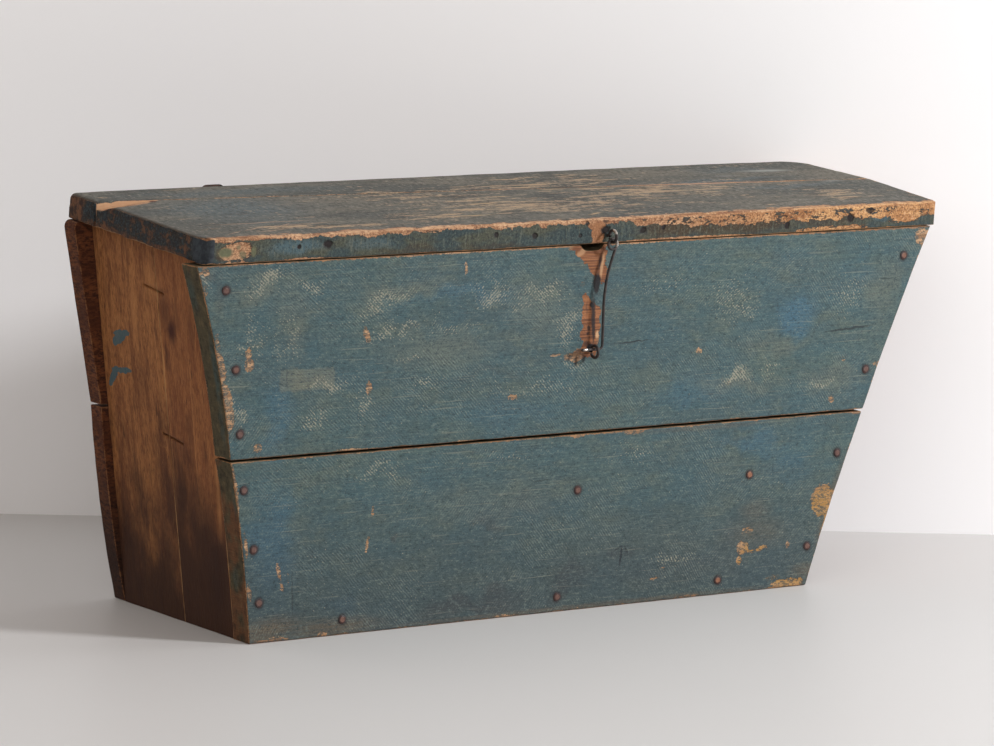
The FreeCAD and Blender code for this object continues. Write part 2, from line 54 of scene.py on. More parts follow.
def steps(length, pitch):
    """Distances along one side of a board: close together by both arrises, then every pitch."""
    close = [0.0, 0.0007, 0.0016, 0.0028, 0.0045, 0.007]
    count = max(1, round((length - 2 * close[-1]) / pitch))
    run = [close[-1] + (length - 2 * close[-1]) * k / count for k in range(count + 1)]
    return close[:-1] + run + [length - d for d in reversed(close[:-1])]


def lumps(place):
    """Smooth noise from 0 to 1."""
    return 0.5 + 0.5 * noise.noise(place)


def rubbed(least, most):
    """The rounding of an arris, which varies along it between two radii."""
    def radius(at, spot):
        return least + (most - least) * lumps(spot * 38) ** 2
    return radius


def plank(size, pitch, where, arris, timber, unevenness=0.0005):
    """A sawn board as a closed mesh, its arrises rubbed round and its faces uneven, all inwards.

    size and pitch are along, into and across the board. where turns those three distances
    into a place. Faces are numbered 0 outside, 1 on the edges and ends and 2 inside.
    """
    runs = [steps(size[k], pitch[k]) for k in range(3)]
    bm = bmesh.new()
    bmesh.ops.create_cube(bm, size=1.0, matrix=Matrix.Translation((0.5, 0.5, 0.5)))
    for k in range(3):
        rails = [e for e in bm.edges if abs(e.verts[0].co[k] - e.verts[1].co[k]) > 0.5]
        bmesh.ops.subdivide_edges(bm, edges=rails, cuts=len(runs[k]) - 2, use_grid_fill=True)
    bm.normal_update()
    for face in bm.faces:
        face.material_index = 0 if face.normal.y < -0.5 else 2 if face.normal.y > 0.5 else 1
        face.smooth = True
    rub = bm.verts.layers.float.new("rub")
    piece_of_timber = bm.verts.layers.float.new("timber")
    for v in bm.verts:
        at = [runs[k][round(v.co[k] * (len(runs[k]) - 1))] for k in range(3)]
        near = [min(at[k], size[k] - at[k]) for k in range(3)]
        spot = Vector(at) + Vector((timber, 0, 0))
        radius = arris(at, spot)
        reach = [max(0.0, radius - d) for d in near]
        span = math.sqrt(sum(r * r for r in reach))
        for k in range(3):
            inwards = reach[k] * (1 - radius / span) if span > radius else 0.0
            if near[k] < 1e-7:
                inwards += unevenness * lumps(spot * 24)
            at[k] += inwards if at[k] < size[k] / 2 else -inwards
        v[rub] = sorted(near)[1]
        v[piece_of_timber] = timber
        v.co = where(*at)
    bmesh.ops.recalc_face_normals(bm, faces=bm.faces)
    return bm


def placed(name, bm, skins):
    """Turns a finished mesh into an object of the scene, with its materials."""
    mesh = bpy.data.meshes.new(name)
    bm.to_mesh(mesh)
    bm.free()
    for skin in skins:
        mesh.materials.append(skin)
    thing = bpy.data.objects.new(name, mesh)
    bpy.context.scene.collection.objects.link(thing)
    return thing


def finish_piece(name, bm, skins, body, node):
    """Makes the finished mesh a piece that stands for a node of the frame."""
    piece = placed(name, bm, skins)
    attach(piece, body)
    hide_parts(node)


def feed(node, inputs):
    """Gives a node's inputs their numbers, or links them to other nodes' outputs."""
    for key, value in inputs.items():
        if isinstance(value, bpy.types.NodeSocket):
            node.id_data.links.new(value, node.inputs[key])
        else:
            node.inputs[key].default_value = value


def put(kind, inputs, **settings):
    """A new node, in the tree that its linked inputs come from."""
    tree = next(v.id_data for v in inputs.values() if isinstance(v, bpy.types.NodeSocket))
    node = tree.nodes.new("ShaderNode" + kind)
    for key, value in settings.items():
        setattr(node, key, value)
    feed(node, inputs)
    return node


def use(group, *inputs):
    return put("Group", dict(enumerate(inputs)), node_tree=group).outputs


def calc(how, *values):
    """One sum on numbers and outputs."""
    return put("Math", dict(enumerate(values)), operation=how).outputs[0]


def times(first, *others):
    for other in others:
        first = calc("MULTIPLY", first, other)
    return first


def most(first, *others):
    """The greatest of all."""
    for other in others:
        first = calc("MAXIMUM", first, other)
    return first


def plus(value, share, base):
    """A base with a share of a value added to it."""
    return calc("MULTIPLY_ADD", value, share, base)


def between(value, low, high, start=0, end=1):
    """start up to low, end from high on, and a smooth change between the two."""
    inputs = {"Value": value, "From Min": low, "From Max": high, "To Min": start, "To Max": end}
    return put("MapRange", inputs, interpolation_type="SMOOTHSTEP").outputs[0]


def limits(value, low, high, soft):
    """1 where a value lies between two limits, with soft edges."""
    return times(between(value, low - soft, low), between(value, high, high + soft, 1, 0))


def parts(vector):
    return put("SeparateXYZ", {0: vector}).outputs


def joined(*numbers):
    return put("CombineXYZ", dict(enumerate(numbers))).outputs[0]


def cloud(vector, shift, scale, detail=2, rough=0.5):
    """Noise stretched by a scale on each axis; shift picks another piece of timber."""
    stretched = put("VectorMath", {0: vector, 1: scale}, operation="MULTIPLY").outputs[0]
    inputs = {"Vector": stretched, "W": shift, "Scale": 1, "Detail": detail, "Roughness": rough}
    return put("TexNoise", inputs, noise_dimensions="4D").outputs[0]


def tint(mask, under, over):
    """Lays one colour over another where the mask is 1."""
    return put("Mix", {0: mask, 6: under, 7: over}, data_type="RGBA").outputs[2]


def colour(red, green, blue):
    """A colour by its 0 to 255 chart values, made linear."""
    return tuple(((c / 255 + 0.055) / 1.055) ** 2.4 for c in (red, green, blue)) + (1,)


def washed(under, *washes):
    """Lays shades on. Each grows to its share where a pattern rises, or falls, from low to high."""
    for pattern, low, high, share, *shade in washes:
        under = tint(between(pattern, low, high, 0, share), under, colour(*shade))
    return under


def glazed(under, mask, share, shade):
    return tint(times(mask, share), under, colour(*shade))


def surface(name, roughness=0.8, specular=0.3):
    """A new material, its shader, and the output that gives each spot's place."""
    material = bpy.data.materials.new(name)
    material.use_nodes = True
    shader = material.node_tree.nodes["Principled BSDF"]
    shader.inputs["Roughness"].default_value = roughness
    shader.inputs["Specular IOR Level"].default_value = specular
    return material, shader, material.node_tree.nodes.new("ShaderNodeTexCoord").outputs["Object"]


def reading(place, name):
    """The number that a mesh carries by this name."""
    node = place.id_data.nodes.new("ShaderNodeAttribute")
    node.attribute_name = name
    return node.outputs["Fac"]


def timber_surface(name, roughness, order):
    """A board's material, also with its timber's number and its place with the grain's axis first."""
    material, shader, place = surface(name, roughness)
    axes = parts(place)
    return material, shader, place, reading(place, "timber"), joined(*(axes[k] for k in order))


def coat(shader, shade, height, **more):
    """Gives a shader its colour, a height in millimetres as bump, and what else varies."""
    bump = put("Bump", {"Height": height, "Distance": 0.001, "Strength": 1})
    feed(shader, {"Base Color": shade, "Normal": bump.outputs[0], **more})


def new_group(name, takes, gives):
    """An effect that several materials share; its inputs are numbers, or places and sizes."""
    tree = bpy.data.node_groups.new(name, "ShaderNodeTree")
    for way, labels in (("INPUT", takes), ("OUTPUT", gives)):
        for label in labels:
            kind = "Vector" if label in ("Vector", "Place", "Size") else "Float"
            tree.interface.new_socket(label, in_out=way, socket_type="NodeSocket" + kind)
    given = tree.nodes.new("NodeGroupInput").outputs
    return tree, [given[label] for label in takes], tree.nodes.new("NodeGroupOutput")


def wave(count):
    """A sine between 0 and 1, one for each whole number."""
    return plus(calc("SINE", times(count, math.tau)), 0.5, 0.5)


# Pine: growth rings that sway along the board, fine fibre and short drying cracks.
pine, (vector, shift, ring_width), gives = new_group("pine grain", ("Vector", "Shift", "Ring Width"),
                                                     ("Rings", "Fibre", "Cracks"))
sway = cloud(vector, shift, (1.7, 7, 7))
rings = wave(plus(sway, 11, calc("DIVIDE", parts(vector)[1], ring_width)))
cracks = between(cloud(vector, shift, (6, 330, 330)), 0.66, 0.7)
feed(gives, {"Rings": calc("POWER", rings, 1.8), "Fibre": cloud(vector, shift, (14, 850, 850), 3, 0.6),
             "Cracks": cracks})

# The saw's teeth left slanting lines on the faces, in two directions, stronger in some patches.
saw, (vector, shift, pitch), gives = new_group("saw marks", ("Vector", "Shift", "Pitch"),
                                               ("Lines", "Patches"))
wander = cloud(vector, shift, (30, 30, 30), 3)
strokes = []
for centre in ((-1.5, -1.1, 0), (1.4, -1.2, 0)):
    away = put("VectorMath", {0: vector, 1: centre}, operation="DISTANCE").outputs["Value"]
    strokes.append(wave(plus(wander, 2.2, calc("DIVIDE", away, pitch))))
other_way = between(cloud(vector, shift, (5, 7, 7), 1), 0.46, 0.54)
feed(gives, {"Lines": put("Mix", {0: other_way, 2: strokes[0], 3: strokes[1]}).outputs[0],
             "Patches": between(cloud(vector, shift, (9, 16, 16), 3, 0.6), 0.42, 0.62)})

# One mark at a named place: an oval with a hard or soft rim, added to the marks before it.
oval, (vector, centre, size, turn, rim, strength, before), gives = new_group(
    "mark", ("Vector", "Place", "Size", "Turn", "Rim", "Strength", "Before"), ("Mask",))
moved = put("VectorMath", {0: vector, 1: centre}, operation="SUBTRACT").outputs[0]
level = put("VectorRotate", {"Vector": moved, "Angle": turn}, rotation_type="Z_AXIS").outputs[0]
scaled = put("VectorMath", {0: level, 1: size}, operation="DIVIDE").outputs[0]
away = put("VectorMath", {0: scaled}, operation="LENGTH").outputs["Value"]
feed(gives, {"Mask": most(before, times(between(away, calc("SUBTRACT", 1, rim), 1, 1, 0), strength))})


def marks(flat, spots, rim):
    """Every (u, v, half length, half width, strength, turn) mark in millimetres as one mask."""
    mask = 0
    for u, v, long, wide, strength, *turn in spots:
        mask = use(oval, flat, (u / 1000, v / 1000, 0), (long / 1000, wide / 1000, 1),
                   -math.radians(sum(turn)), rim, strength, mask)[0]
    return mask


def daubed(under, flat, rim, shade, spots):
    return tint(marks(flat, spots, rim), under, colour(*shade))


def frayed(flat, shift, by=0.004, scale=160):
    """A flat vector whose points are pushed about, so that marks on it get ragged rims."""
    stretched = put("VectorMath", {0: flat, 1: (scale, scale, scale)}, operation="MULTIPLY").outputs[0]
    inputs = {"Vector": stretched, "W": shift, "Scale": 1, "Detail": 3}
    push = put("TexNoise", inputs, noise_dimensions="4D").outputs[1]
    centred = put("VectorMath", {0: push, 1: (0.5, 0.5, 0.5)}, operation="SUBTRACT").outputs[0]
    return put("VectorMath", {0: centred, 1: (by, by, 0), 2: flat}, operation="MULTIPLY_ADD").outputs[0]


# Paint loss: starts at the arrises, follows the grain and the saw, and takes in given marks.
loss, (vector, shift, rub, reach, extra), gives = new_group(
    "paint loss", ("Vector", "Shift", "Rub", "Reach", "Extra"), ("Bare", "Thin"))
edge = put("Math", {0: 1, 1: calc("DIVIDE", rub, reach)}, operation="SUBTRACT", use_clamp=True).outputs[0]
coarse = calc("SUBTRACT", cloud(vector, shift, (45, 90, 90), 3, 0.6), 0.5)
fine = calc("SUBTRACT", cloud(vector, shift, (240, 620, 620), 2, 0.6), 0.5)
total = calc("ADD", plus(coarse, 2, times(fine, 1.3)), calc("ADD", edge, extra))
feed(gives, {"Bare": between(total, 0.62, 0.72), "Thin": between(total, 0.3, 0.65)})

front_paint, shader, place, timber, grain_way = timber_surface("worn teal paint", 0.72, (0, 2, 1))
axes = parts(place)
flat = joined(axes[0], axes[2])
rough_flat = frayed(flat, 0)
torn_flat = frayed(rough_flat, 12, 0.005, 430)
torn = parts(torn_flat)
soft_flat = frayed(flat, 3, 0.07, 30)
grain = use(pine, grain_way, timber, 0.011)
sawn = use(saw, flat, timber, 0.0026)
tone = cloud(grain_way, timber, (5, 9, 9), 3, 0.6)
paint = washed(colour(57, 80, 84), (tone, 0.38, 0.62, 1, 70, 89, 88))
patchy = cloud(grain_way, calc("ADD", timber, 20), (20, 42, 42), 4, 0.65)
paint = washed(paint, (patchy, 0.46, 0.62, 0.5, 54, 85, 94), (patchy, 0.48, 0.36, 0.5, 82, 92, 82))
paint = daubed(paint, soft_flat, 0.9, (56, 91, 108), [(-362, 92, 40, 88, 0.9, 4),
    (-362, 210, 22, 60, 0.7), (262, 280, 38, 30, 1), (130, 210, 60, 28, 0.5),
    (-90, 200, 90, 30, 0.4), (255, 130, 40, 40, 0.5), (-150, 320, 120, 12, 0.5, 3),
    (340, 320, 40, 25, 0.3), (-280, 30, 30, 20, 0.6), (210, 150, 70, 14, 0.6)])
paint = daubed(paint, soft_flat, 0.9, (90, 97, 88), [(-385, 335, 44, 24, 0.7),
    (-225, 330, 90, 18, 0.7, 5), (-170, 270, 110, 28, 0.7), (-325, 250, 42, 9, 1),
    (-60, 300, 60, 40, 0.6), (-345, 300, 25, 60, 0.5), (300, 215, 60, 22, 0.7),
    (185, 215, 70, 18, 0.7), (370, 300, 30, 50, 0.7), (-100, 120, 130, 30, 0.4),
    (240, 250, 70, 14, 0.6), (60, 60, 120, 40, 0.3)])
paint = daubed(paint, soft_flat, 0.9, (62, 62, 62), [(-135, 12, 115, 17, 1, 2),
    (-20, 30, 44, 20, 0.8, 15), (49, 52, 17, 15, 0.7), (-118, 98, 26, 16, 0.5),
    (-70, 110, 40, 10, 0.3), (-118, 91, 9, 9, 0.5), (-223, 89.5, 7, 7, 0.7),
    (-307, 80, 7, 7, 0.5), (-120, 243, 60, 10, 0.3), (120, 30, 120, 24, 0.35),
    (-425, 330, 8, 40, 0.3)])
paint = washed(paint, (axes[2], 0.16, 0.02, 0.65, 55, 64, 67))
faded = times(limits(torn[0], -0.356, -0.298, 0.003), limits(torn[1], 0.241, 0.258, 0.003))
paint = glazed(paint, faded, 0.5, (108, 108, 92))
paint = daubed(paint, rough_flat, 0.9, (88, 78, 64), [(-365, 12, 60, 18, 1, 4),
    (-290, 8, 90, 14, 0.85), (0, 3, 380, 4, 0.7), (215, 60, 60, 26, 0.45),
    (311, 84, 8, 74, 0.8, -20), (285, 16, 34, 12, 0.7), (214, 82, 30, 18, 0.5),
    (-335, 177, 80, 3, 0.5, -3), (330, 60, 26, 40, 0.3, -20), (150, 172, 120, 4, 0.5),
    (-440, 352, 14, 8, 0.4, 20)])
speckle = cloud(grain_way, timber, (250, 460, 460), 3, 0.75)
paint = washed(paint, (speckle, 0.52, 0.66, 0.8, 34, 50, 56), (speckle, 0.48, 0.36, 0.5, 104, 116, 110))
paint = daubed(paint, rough_flat, 0.6, (28, 34, 38), [(53, 264, 29, 1.1, 0.9, 2),
    (327, 262, 42, 1.6, 0.8, 3), (-40, 257.5, 13, 1, 0.5), (372, 311, 14, 1.2, 0.6, -4),
    (-258, 120, 7, 0.9, 0.3, 60), (-52, 133, 16, 0.9, 0.6, 2), (-350, 254, 1.2, 9, 0.5),
    (-338, 45, 1.2, 30, 0.5, 2), (48, 50, 1.7, 13, 1, -8), (45, 58, 8, 1.7, 0.7, 24),
    (54, 56, 1.6, 7, 0.7, 30)])
broken_up = between(cloud(grain_way, timber, (150, 260, 260), 2, 0.6), 0.4, 0.6)
stroke = times(sawn["Lines"], sawn["Patches"], broken_up)
paint = glazed(paint, stroke, 0.36, (108, 118, 112))
paint = washed(paint, (grain["Fibre"], 0.4, 0.62, 0.34, 50, 64, 70))
hair_lines = cloud(grain_way, calc("ADD", timber, 40), (16, 640, 640), 2, 0.6)
paint = washed(paint, (hair_lines, 0.62, 0.7, 0.4, 122, 124, 112))
tick_grain = cloud(grain_way, timber, (400, 480, 480), 2, 0.75)
tick_places = [(-325, 340, 26, 20, 0.9), (-240, 323, 50, 16, 0.9, 8), (-245, 290, 36, 16, 0.9, 25),
    (-115, 322, 32, 26, 1), (-28, 280, 14, 26, 1.1), (-210, 262, 26, 8, 0.8),
    (176, 222, 40, 14, 1.1), (288, 208, 32, 9, 0.9), (225, 232, 26, 10, 0.7),
    (-325, 208, 24, 14, 0.7), (-350, 285, 26, 40, 0.7), (330, 300, 40, 34, 0.6),
    (180, 300, 60, 36, 0.6), (-300, 245, 40, 12, 1), (-250, 160, 50, 12, 0.7),
    (60, 150, 70, 18, 0.5), (110, 38, 40, 10, 0.8), (90, 320, 60, 24, 0.5),
    (-90, 160, 60, 10, 0.5), (-60, 225, 90, 10, 0.5), (-20, 252, 14, 10, 1),
    (-372, 342, 44, 18, 1.15), (-60, 318, 40, 14, 0.8), (-385, 290, 20, 40, 0.8),
    (-405, 285, 14, 12, 1), (-190, 238, 40, 10, 0.8), (-262, 215, 12, 30, 0.9),
    (-165, 290, 50, 10, 0.7, -8), (-407, 235, 8, 55, 1.1, 8), (-438, 345, 8, 18, 1, 10),
    (-28, 295, 16, 22, 0.9), (-215, 288, 30, 10, 0.9, -6), (-80, 307, 30, 14, 0.6),
    (-328, 205, 16, 9, 1)]
tick_zone = plus(marks(soft_flat, tick_places, 1), 0.205, times(sawn["Patches"], 0.03))
tick_sum = calc("ADD", times(sawn["Lines"], 0.13), calc("ADD", tick_grain, tick_zone))
paint = washed(paint, (tick_sum, 0.73, 0.85, 0.75, 146, 142, 124), (tick_sum, 0.46, 0.36, 0.5, 30, 40, 46))
front_nails = {
    "left": [(-0.41943, 0.33879), (-0.40675, 0.26357), (-0.40057, 0.20212), (-0.39455, 0.14851),
             (-0.38224, 0.09088), (-0.37496, 0.03925)],
    "right": [(0.39446, 0.33395), (0.35056, 0.21888), (0.31766, 0.13472), (0.28329, 0.04084)],
    "bottom": [(-0.28052, 0.015), (-0.02846, 0.015), (0.17012, 0.015), (-0.00773, 0.12022),
               (0.20555, 0.12022)]}
halos = [(x * 1000, z * 1000, 8, 8, 0.85) for column in front_nails.values() for x, z in column]
paint = daubed(paint, rough_flat, 0.6, (34, 30, 33), halos)
chips = [(-443, 357, 7, 5.5, 0.9), (-441, 340, 3, 7, 0.7, 8), (-411, 348, 3.4, 3, 0.7),
    (-392, 267, 6.8, 8, 1.2), (-393, 277, 4.4, 8, 1.2), (-416, 229, 9.5, 31, 1.3, 12),
    (-423, 266, 6, 22, 1.05, 12), (-428, 295, 2.4, 30, 0.7, 12), (-380, 188, 6, 6.5, 0.9),
    (-404, 150, 3, 30, 1, 9), (-386, 50, 3, 12, 0.9, 10), (-391, 95, 2, 20, 0.8, 8),
    (-418, 205, 3, 6, 0.8), (-257, 237, 4.4, 10, 1.05, 3), (-261, 288, 5, 11, 0.95, 20),
    (-149, 347, 2.2, 9, 1), (-90, 218, 7, 3.8, 1.15), (-112, 213, 2.6, 2, 0.6),
    (136, 250, 5.5, 4.2, 1, 10), (321, 231, 3.4, 3.4, 0.8), (307, 191, 4.6, 5.5, 0.9),
    (-354, 68, 2.6, 12, 1.1, 12), (-350, 54, 2, 8.5, 1, 12), (-343, 60, 1.3, 9, 0.8, 2),
    (-249, 118, 2.2, 8, 1, -4), (-254, 86, 2.2, 11, 1.1, -8), (216, 41, 13, 2.6, 0.9, 2),
    (198, 34, 2.4, 6, 1), (258, 44, 3.2, 4.4, 0.9), (301, 87, 19, 23, 1.1, -12),
    (312, 78, 9, 20, 1.2, -20), (302, 58, 4, 12, 0.8, -20), (200, 46, 11, 10, 1.1),
    (226, 44, 8, 3, 1.1, 4), (196, 33, 4, 6, 1), (206, 62, 10, 12, 0.6), (86, 23, 12, 2, 0.8, 6),
    (100, 33, 5, 1.6, 0.7), (260, 5, 28, 6, 1, 2), (240, 12, 16, 4, 0.7, 10), (-303, 3, 9, 2.6, 1),
    (-360, 3, 26, 2.5, 0.9), (132, 2, 18, 2.2, 0.8), (-95, 2, 14, 2, 0.9),
    (58, 173, 16, 2.8, 1), (-10, 174, 10, 2, 0.7), (30, 175.5, 60, 1.2, 0.6),
    (-60, 175.6, 90, 1, 0.5), (-270, 178.6, 30, 2, 0.7, -3), (417, 352, 12, 11, 1, 20),
    (421, 334, 5, 24, 0.95, -20), (412, 300, 3, 22, 0.7, -20), (340, 175, 10, 2.5, 0.8),
    (205.5, 120.2, 5, 5, 1), (176, 215, 12, 3, 0.6), (367, 223, 12, 3, 0.7, -8),
    (205.5, 120.2, 6, 6, 0.9)]
hasp = [(-16, 361, 18, 3, 1.2, 8), (-14, 254, 12, 8, 1.1, 20), (1, 257, 12, 8, 1.1),
    (-25, 254, 6, 5, 0.9, 30), (-40, 256, 10, 1.8, 0.8), (-10, 325, 4, 5, 0.6)]
bitten = parts(frayed(torn_flat, 15, 0.013, 100))
past_slant = between(plus(bitten[1], 1.03, bitten[0]), 0.3435, 0.3495)
hasp_top = times(past_slant, limits(bitten[0], -0.036, 0.0166, 0.002),
                 limits(bitten[1], 0.3255, 0.37, 0.005))
hasp_foot = times(limits(bitten[0], -0.0088, 0.0112, 0.002), limits(bitten[1], 0.262, 0.3115, 0.004),
                  between(plus(bitten[1], 1.2, bitten[0]), 0.3685, 0.3725, 1, 0))
top_line = between(torn[1], 0.3607, 0.3622, 0, 0.8)
extra = most(marks(torn_flat, chips, 0.42), marks(torn_flat, hasp, 0.4), top_line,
             times(most(hasp_top, hasp_foot), 1.25))
worn = use(loss, grain_way, timber, reading(place, "rub"), 0.0034, calc("SUBTRACT", extra, 0.16))
wood = tint(grain["Rings"], colour(178, 142, 108), colour(150, 112, 78))
wood = washed(wood, (grain["Fibre"], 0.46, 0.62, 1, 116, 88, 66), (speckle, 0.5, 0.64, 0.7, 96, 70, 54))
ochre = marks(soft_flat, [(306, 84, 26, 30, 1), (215, 42, 36, 22, 1), (262, 4, 40, 12, 1)], 0.6)
wood = glazed(wood, ochre, 0.6, (158, 118, 52))
hasp_zone = marks(soft_flat, [(2, 310, 34, 76, 1)], 0.3)
hasp_wood = washed(colour(148, 94, 56), (grain["Fibre"], 0.38, 0.6, 1, 92, 52, 30),
    (tone, 0.42, 0.6, 0.5, 88, 50, 30))
wood = tint(times(hasp_zone, 0.95), wood, hasp_wood)
wood = daubed(wood, rough_flat, 0.6, (190, 150, 112), [(9.5, 274, 3.2, 5.4, 1), (3, 259, 4.5, 4, 0.8),
    (12.5, 342, 3.2, 16, 0.6, -6), (-12, 356, 10, 4, 0.5, 30)])
wood = glazed(wood, grain["Cracks"], 0.5, (64, 44, 34))
# Where the paint is thin beside the bare wood it is darkened: partly dirt, partly a painted shade line under
# the raised edge of the paint.
paint = glazed(paint, worn["Thin"], 0.42, (84, 74, 58))
left_in_pores = times(between(speckle, 0.47, 0.56, 0, 0.85), calc("SUBTRACT", 1, hasp_zone))
bare = times(worn["Bare"], calc("SUBTRACT", 1, left_in_pores))
worn_front = tint(bare, paint, wood)
# Dark brown streaks down from the upper eye and round the lower eye: partly rust stain, partly a painted
# shadow of the hook, its tip and the lower eye.
worn_front = daubed(worn_front, rough_flat, 0.8, (42, 23, 16), [(9.8, 345, 3, 14, 0.9, -14),
    (5.6, 328, 4.6, 11, 1, -12), (3.6, 290, 3.4, 34, 0.9, 3), (-4, 300, 2, 12, 0.4),
    (1.9, 304, 3.4, 4, 1), (-1.8, 275.8, 2.8, 2.8, 1), (-3, 266, 6, 4, 0.8),
    (-14, 258, 9, 2, 0.7, 20), (-15, 249, 2.6, 8, 0.8, -8), (-6, 251, 3, 6, 0.5, 10),
    (-24, 252, 2, 4, 0.5)])
# Near-black marks down the hasp's bare patch and by the lower eye: partly a rust stain, partly a painted
# shadow of the hook wire and of the lower eye.
hook_shadow_and_stain = marks(rough_flat, [(7.4, 324, 4.4, 13, 1, -8), (2.6, 303, 3.4, 4.4, 1),
    (5, 289, 2.2, 30, 0.8, 1), (-1, 281, 2.2, 3, 0.8), (2, 262, 6, 4, 1)], 0.45)
height = plus(grain["Fibre"], 0.4, times(stroke, 0.25))
height = plus(speckle, -0.45, plus(tone, 0.5, height))
coat(shader, tint(hook_shadow_and_stain, worn_front, colour(20, 17, 20)), plus(worn["Bare"], -0.25, height),
     Roughness=between(tone, 0.3, 0.7, 0.6, 0.78))

board_end, shader, place, timber, end_way = timber_surface("board end, painted", 0.8, (1, 2, 0))
end_grain = cloud(end_way, timber, (60, 900, 60), 3, 0.6)
smear = cloud(end_way, timber, (30, 24, 10), 3, 0.6)
axes = parts(place)
low_down = between(axes[2], 0.05, 0.26)
end_wood = tint(end_grain, colour(66, 40, 24), colour(116, 78, 48))
end_paint = tint(end_grain, colour(50, 46, 34), colour(88, 78, 54))
covered = between(plus(low_down, 0.22, smear), 0.5, 0.62)
worn = use(loss, end_way, timber, reading(place, "rub"), 0.003, -0.05)
end_colour = tint(covered, end_wood, end_paint)
smeared = frayed(joined(axes[1], axes[2]), 13, 0.01, 90)
end_colour = daubed(end_colour, smeared, 0.8, (58, 74, 70), [
    (-114, 262, 7, 50, 0.9, 3), (-100, 335, 10, 22, 0.7), (-112, 210, 6, 30, 0.6),
    (-116, 140, 5, 26, 0.5), (-104, 60, 8, 16, 0.5)])
mottle = cloud(place, timber, (160, 160, 90), 4, 0.7)
end_colour = washed(end_colour, (mottle, 0.5, 0.62, 0.6, 34, 28, 20),
    (mottle, 0.46, 0.36, 0.4, 112, 96, 66))
coat(shader, tint(worn["Bare"], end_colour, colour(150, 108, 74)), times(end_grain, 0.8))

inside_pine, shader, place, timber, grain_way = timber_surface("inside pine", 0.82, (0, 2, 1))
grain = use(pine, grain_way, timber, 0.012)
wood = glazed(colour(172, 138, 100), grain["Rings"], 0.6, (138, 102, 68))
wood = washed(wood, (grain["Fibre"], 0.42, 0.66, 0.8, 122, 90, 60))
dust = cloud(grain_way, timber, (5, 22, 22), 4, 0.65)
wood = washed(wood, (dust, 0.42, 0.66, 0.7, 104, 78, 54))
wood = glazed(wood, grain["Cracks"], 0.7, (58, 42, 30))
coat(shader, wood, times(grain["Fibre"], 0.5))


def end_line(ends, height, side):
    """Where a sloping end of the front or back is at some height, between two named heights."""
    stops = sorted(ends)
    low = max(s for s in stops[:-1] if s <= height + 1e-9)
    high = stops[stops.index(low) + 1]
    share = (height - low) / (high - low)
    return ends[low][side] + (ends[high][side] - ends[low][side]) * share, share


def front_board(low, high, left_hollow):
    """Places a spot of a front board between two heights of the front."""
    length = top_right - top_left

    def where(along, deep, across):
        z = min(high, max(low, low + across))
        x_left, share = end_line(front_ends, z, 0)
        x_right = end_line(front_ends, z, 1)[0]
        curve = 4 * share * (1 - share)
        x_left, x_right = x_left + left_hollow * curve, x_right - right_hollow * curve
        return Vector((x_left + (x_right - x_left) * along / length, front_y + deep, z))
    return where, (length, front_thick, high - low)


def weathered_overhang(bm):
    """Where a front or back board runs past the end boards, its inner face is as dark as its end."""
    for face in bm.faces:
        middle = face.calc_center_median()
        left_limit = -0.372 - left_lean * middle.z
        right_limit = 0.272 + right_lean * middle.z
        if face.material_index == 2 and not left_limit < middle.x < right_limit:
            face.material_index = 1


front_skins = (front_paint, board_end, inside_pine)
for name, low, high, left_hollow, timber_number in (("lower", 0, front_seam - half_gap, 0.003, 1),
                                                    ("upper", front_seam + half_gap, front_top, 0.0046, 2)):
    where, size = front_board(low, high, left_hollow)
    bm = plank(size, (0.006, 0.003, 0.006), where, rubbed(0.0008, 0.0034), timber_number)
    if name == "upper":
        # Years of unhooking have scooped the top arris hollow behind the hook.
        scoop_x, scoop_half, scoop_low, scoop_back, scoop_deep = 0.0005, 0.0142, 0.013, 0.02, 0.0062
        near_hook = []
        for face in bm.faces:
            x, y, z = face.calc_center_median()
            if abs(x) < 0.021 and y - front_y < 0.021 and front_top - z < 0.016:
                near_hook.append(face)
        edges = list({e for f in near_hook for e in f.edges})
        bmesh.ops.subdivide_edges(bm, edges=edges, cuts=3, use_grid_fill=True)
        for v in bm.verts:
            aside = (v.co.x - scoop_x) / scoop_half
            below, behind = (front_top - v.co.z) / scoop_low, (v.co.y - front_y) / scoop_back
            if abs(aside) < 1 and below < 1 and behind < 1:
                v.co.z -= scoop_deep * (1 - aside ** 4) * (1 - below) * (1 - behind ** 2)
    weathered_overhang(bm)
    finish_piece("front_plank_" + name, bm, front_skins, "chest", "front_board_" + name)

# ---- Back boards -------------------------------------------------------------------------
# Two thinner pine boards on the back, nailed like the front ones. They were never painted
# well: bare, nearly black-brown wood with a fine grain, split a little at the left end.
back_inner_y, back_outer_y = 0.1101, 0.1311
back_top = 0.3783
back_seam = 0.196
back_ends = {back_top: (-0.4502, top_right), back_seam: (-0.4152, 0.3492), 0: (-0.3836, 0.2838)}
lid_slope = (back_top - front_top) / (back_outer_y - front_y)
corner_round = 0.009

dark_back, shader, place, timber, grain_way = timber_surface("dark back boards", 0.8, (0, 2, 1))
grain = use(pine, grain_way, timber, 0.013)
wood = tint(grain["Rings"], colour(96, 66, 44), colour(72, 46, 30))
wood = washed(wood, (grain["Fibre"], 0.42, 0.66, 1, 48, 30, 20))
blotch = cloud(grain_way, timber, (4, 30, 30), 5, 0.7)
wood = washed(wood, (blotch, 0.46, 0.62, 0.6, 118, 92, 68), (blotch, 0.46, 0.36, 0.6, 44, 30, 22))
flecks = cloud(grain_way, timber, (90, 560, 560), 3, 0.7)
wood = washed(wood, (flecks, 0.52, 0.64, 0.7, 38, 25, 17), (flecks, 0.46, 0.36, 0.45, 138, 108, 78))
wood = glazed(wood, grain["Cracks"], 0.8, (26, 18, 14))
worn = use(loss, grain_way, timber, reading(place, "rub"), 0.004, -0.1)
coat(shader, glazed(wood, worn["Bare"], 0.6, (150, 112, 76)),
     plus(grain["Fibre"], 0.6, times(grain["Rings"], 0.15)))

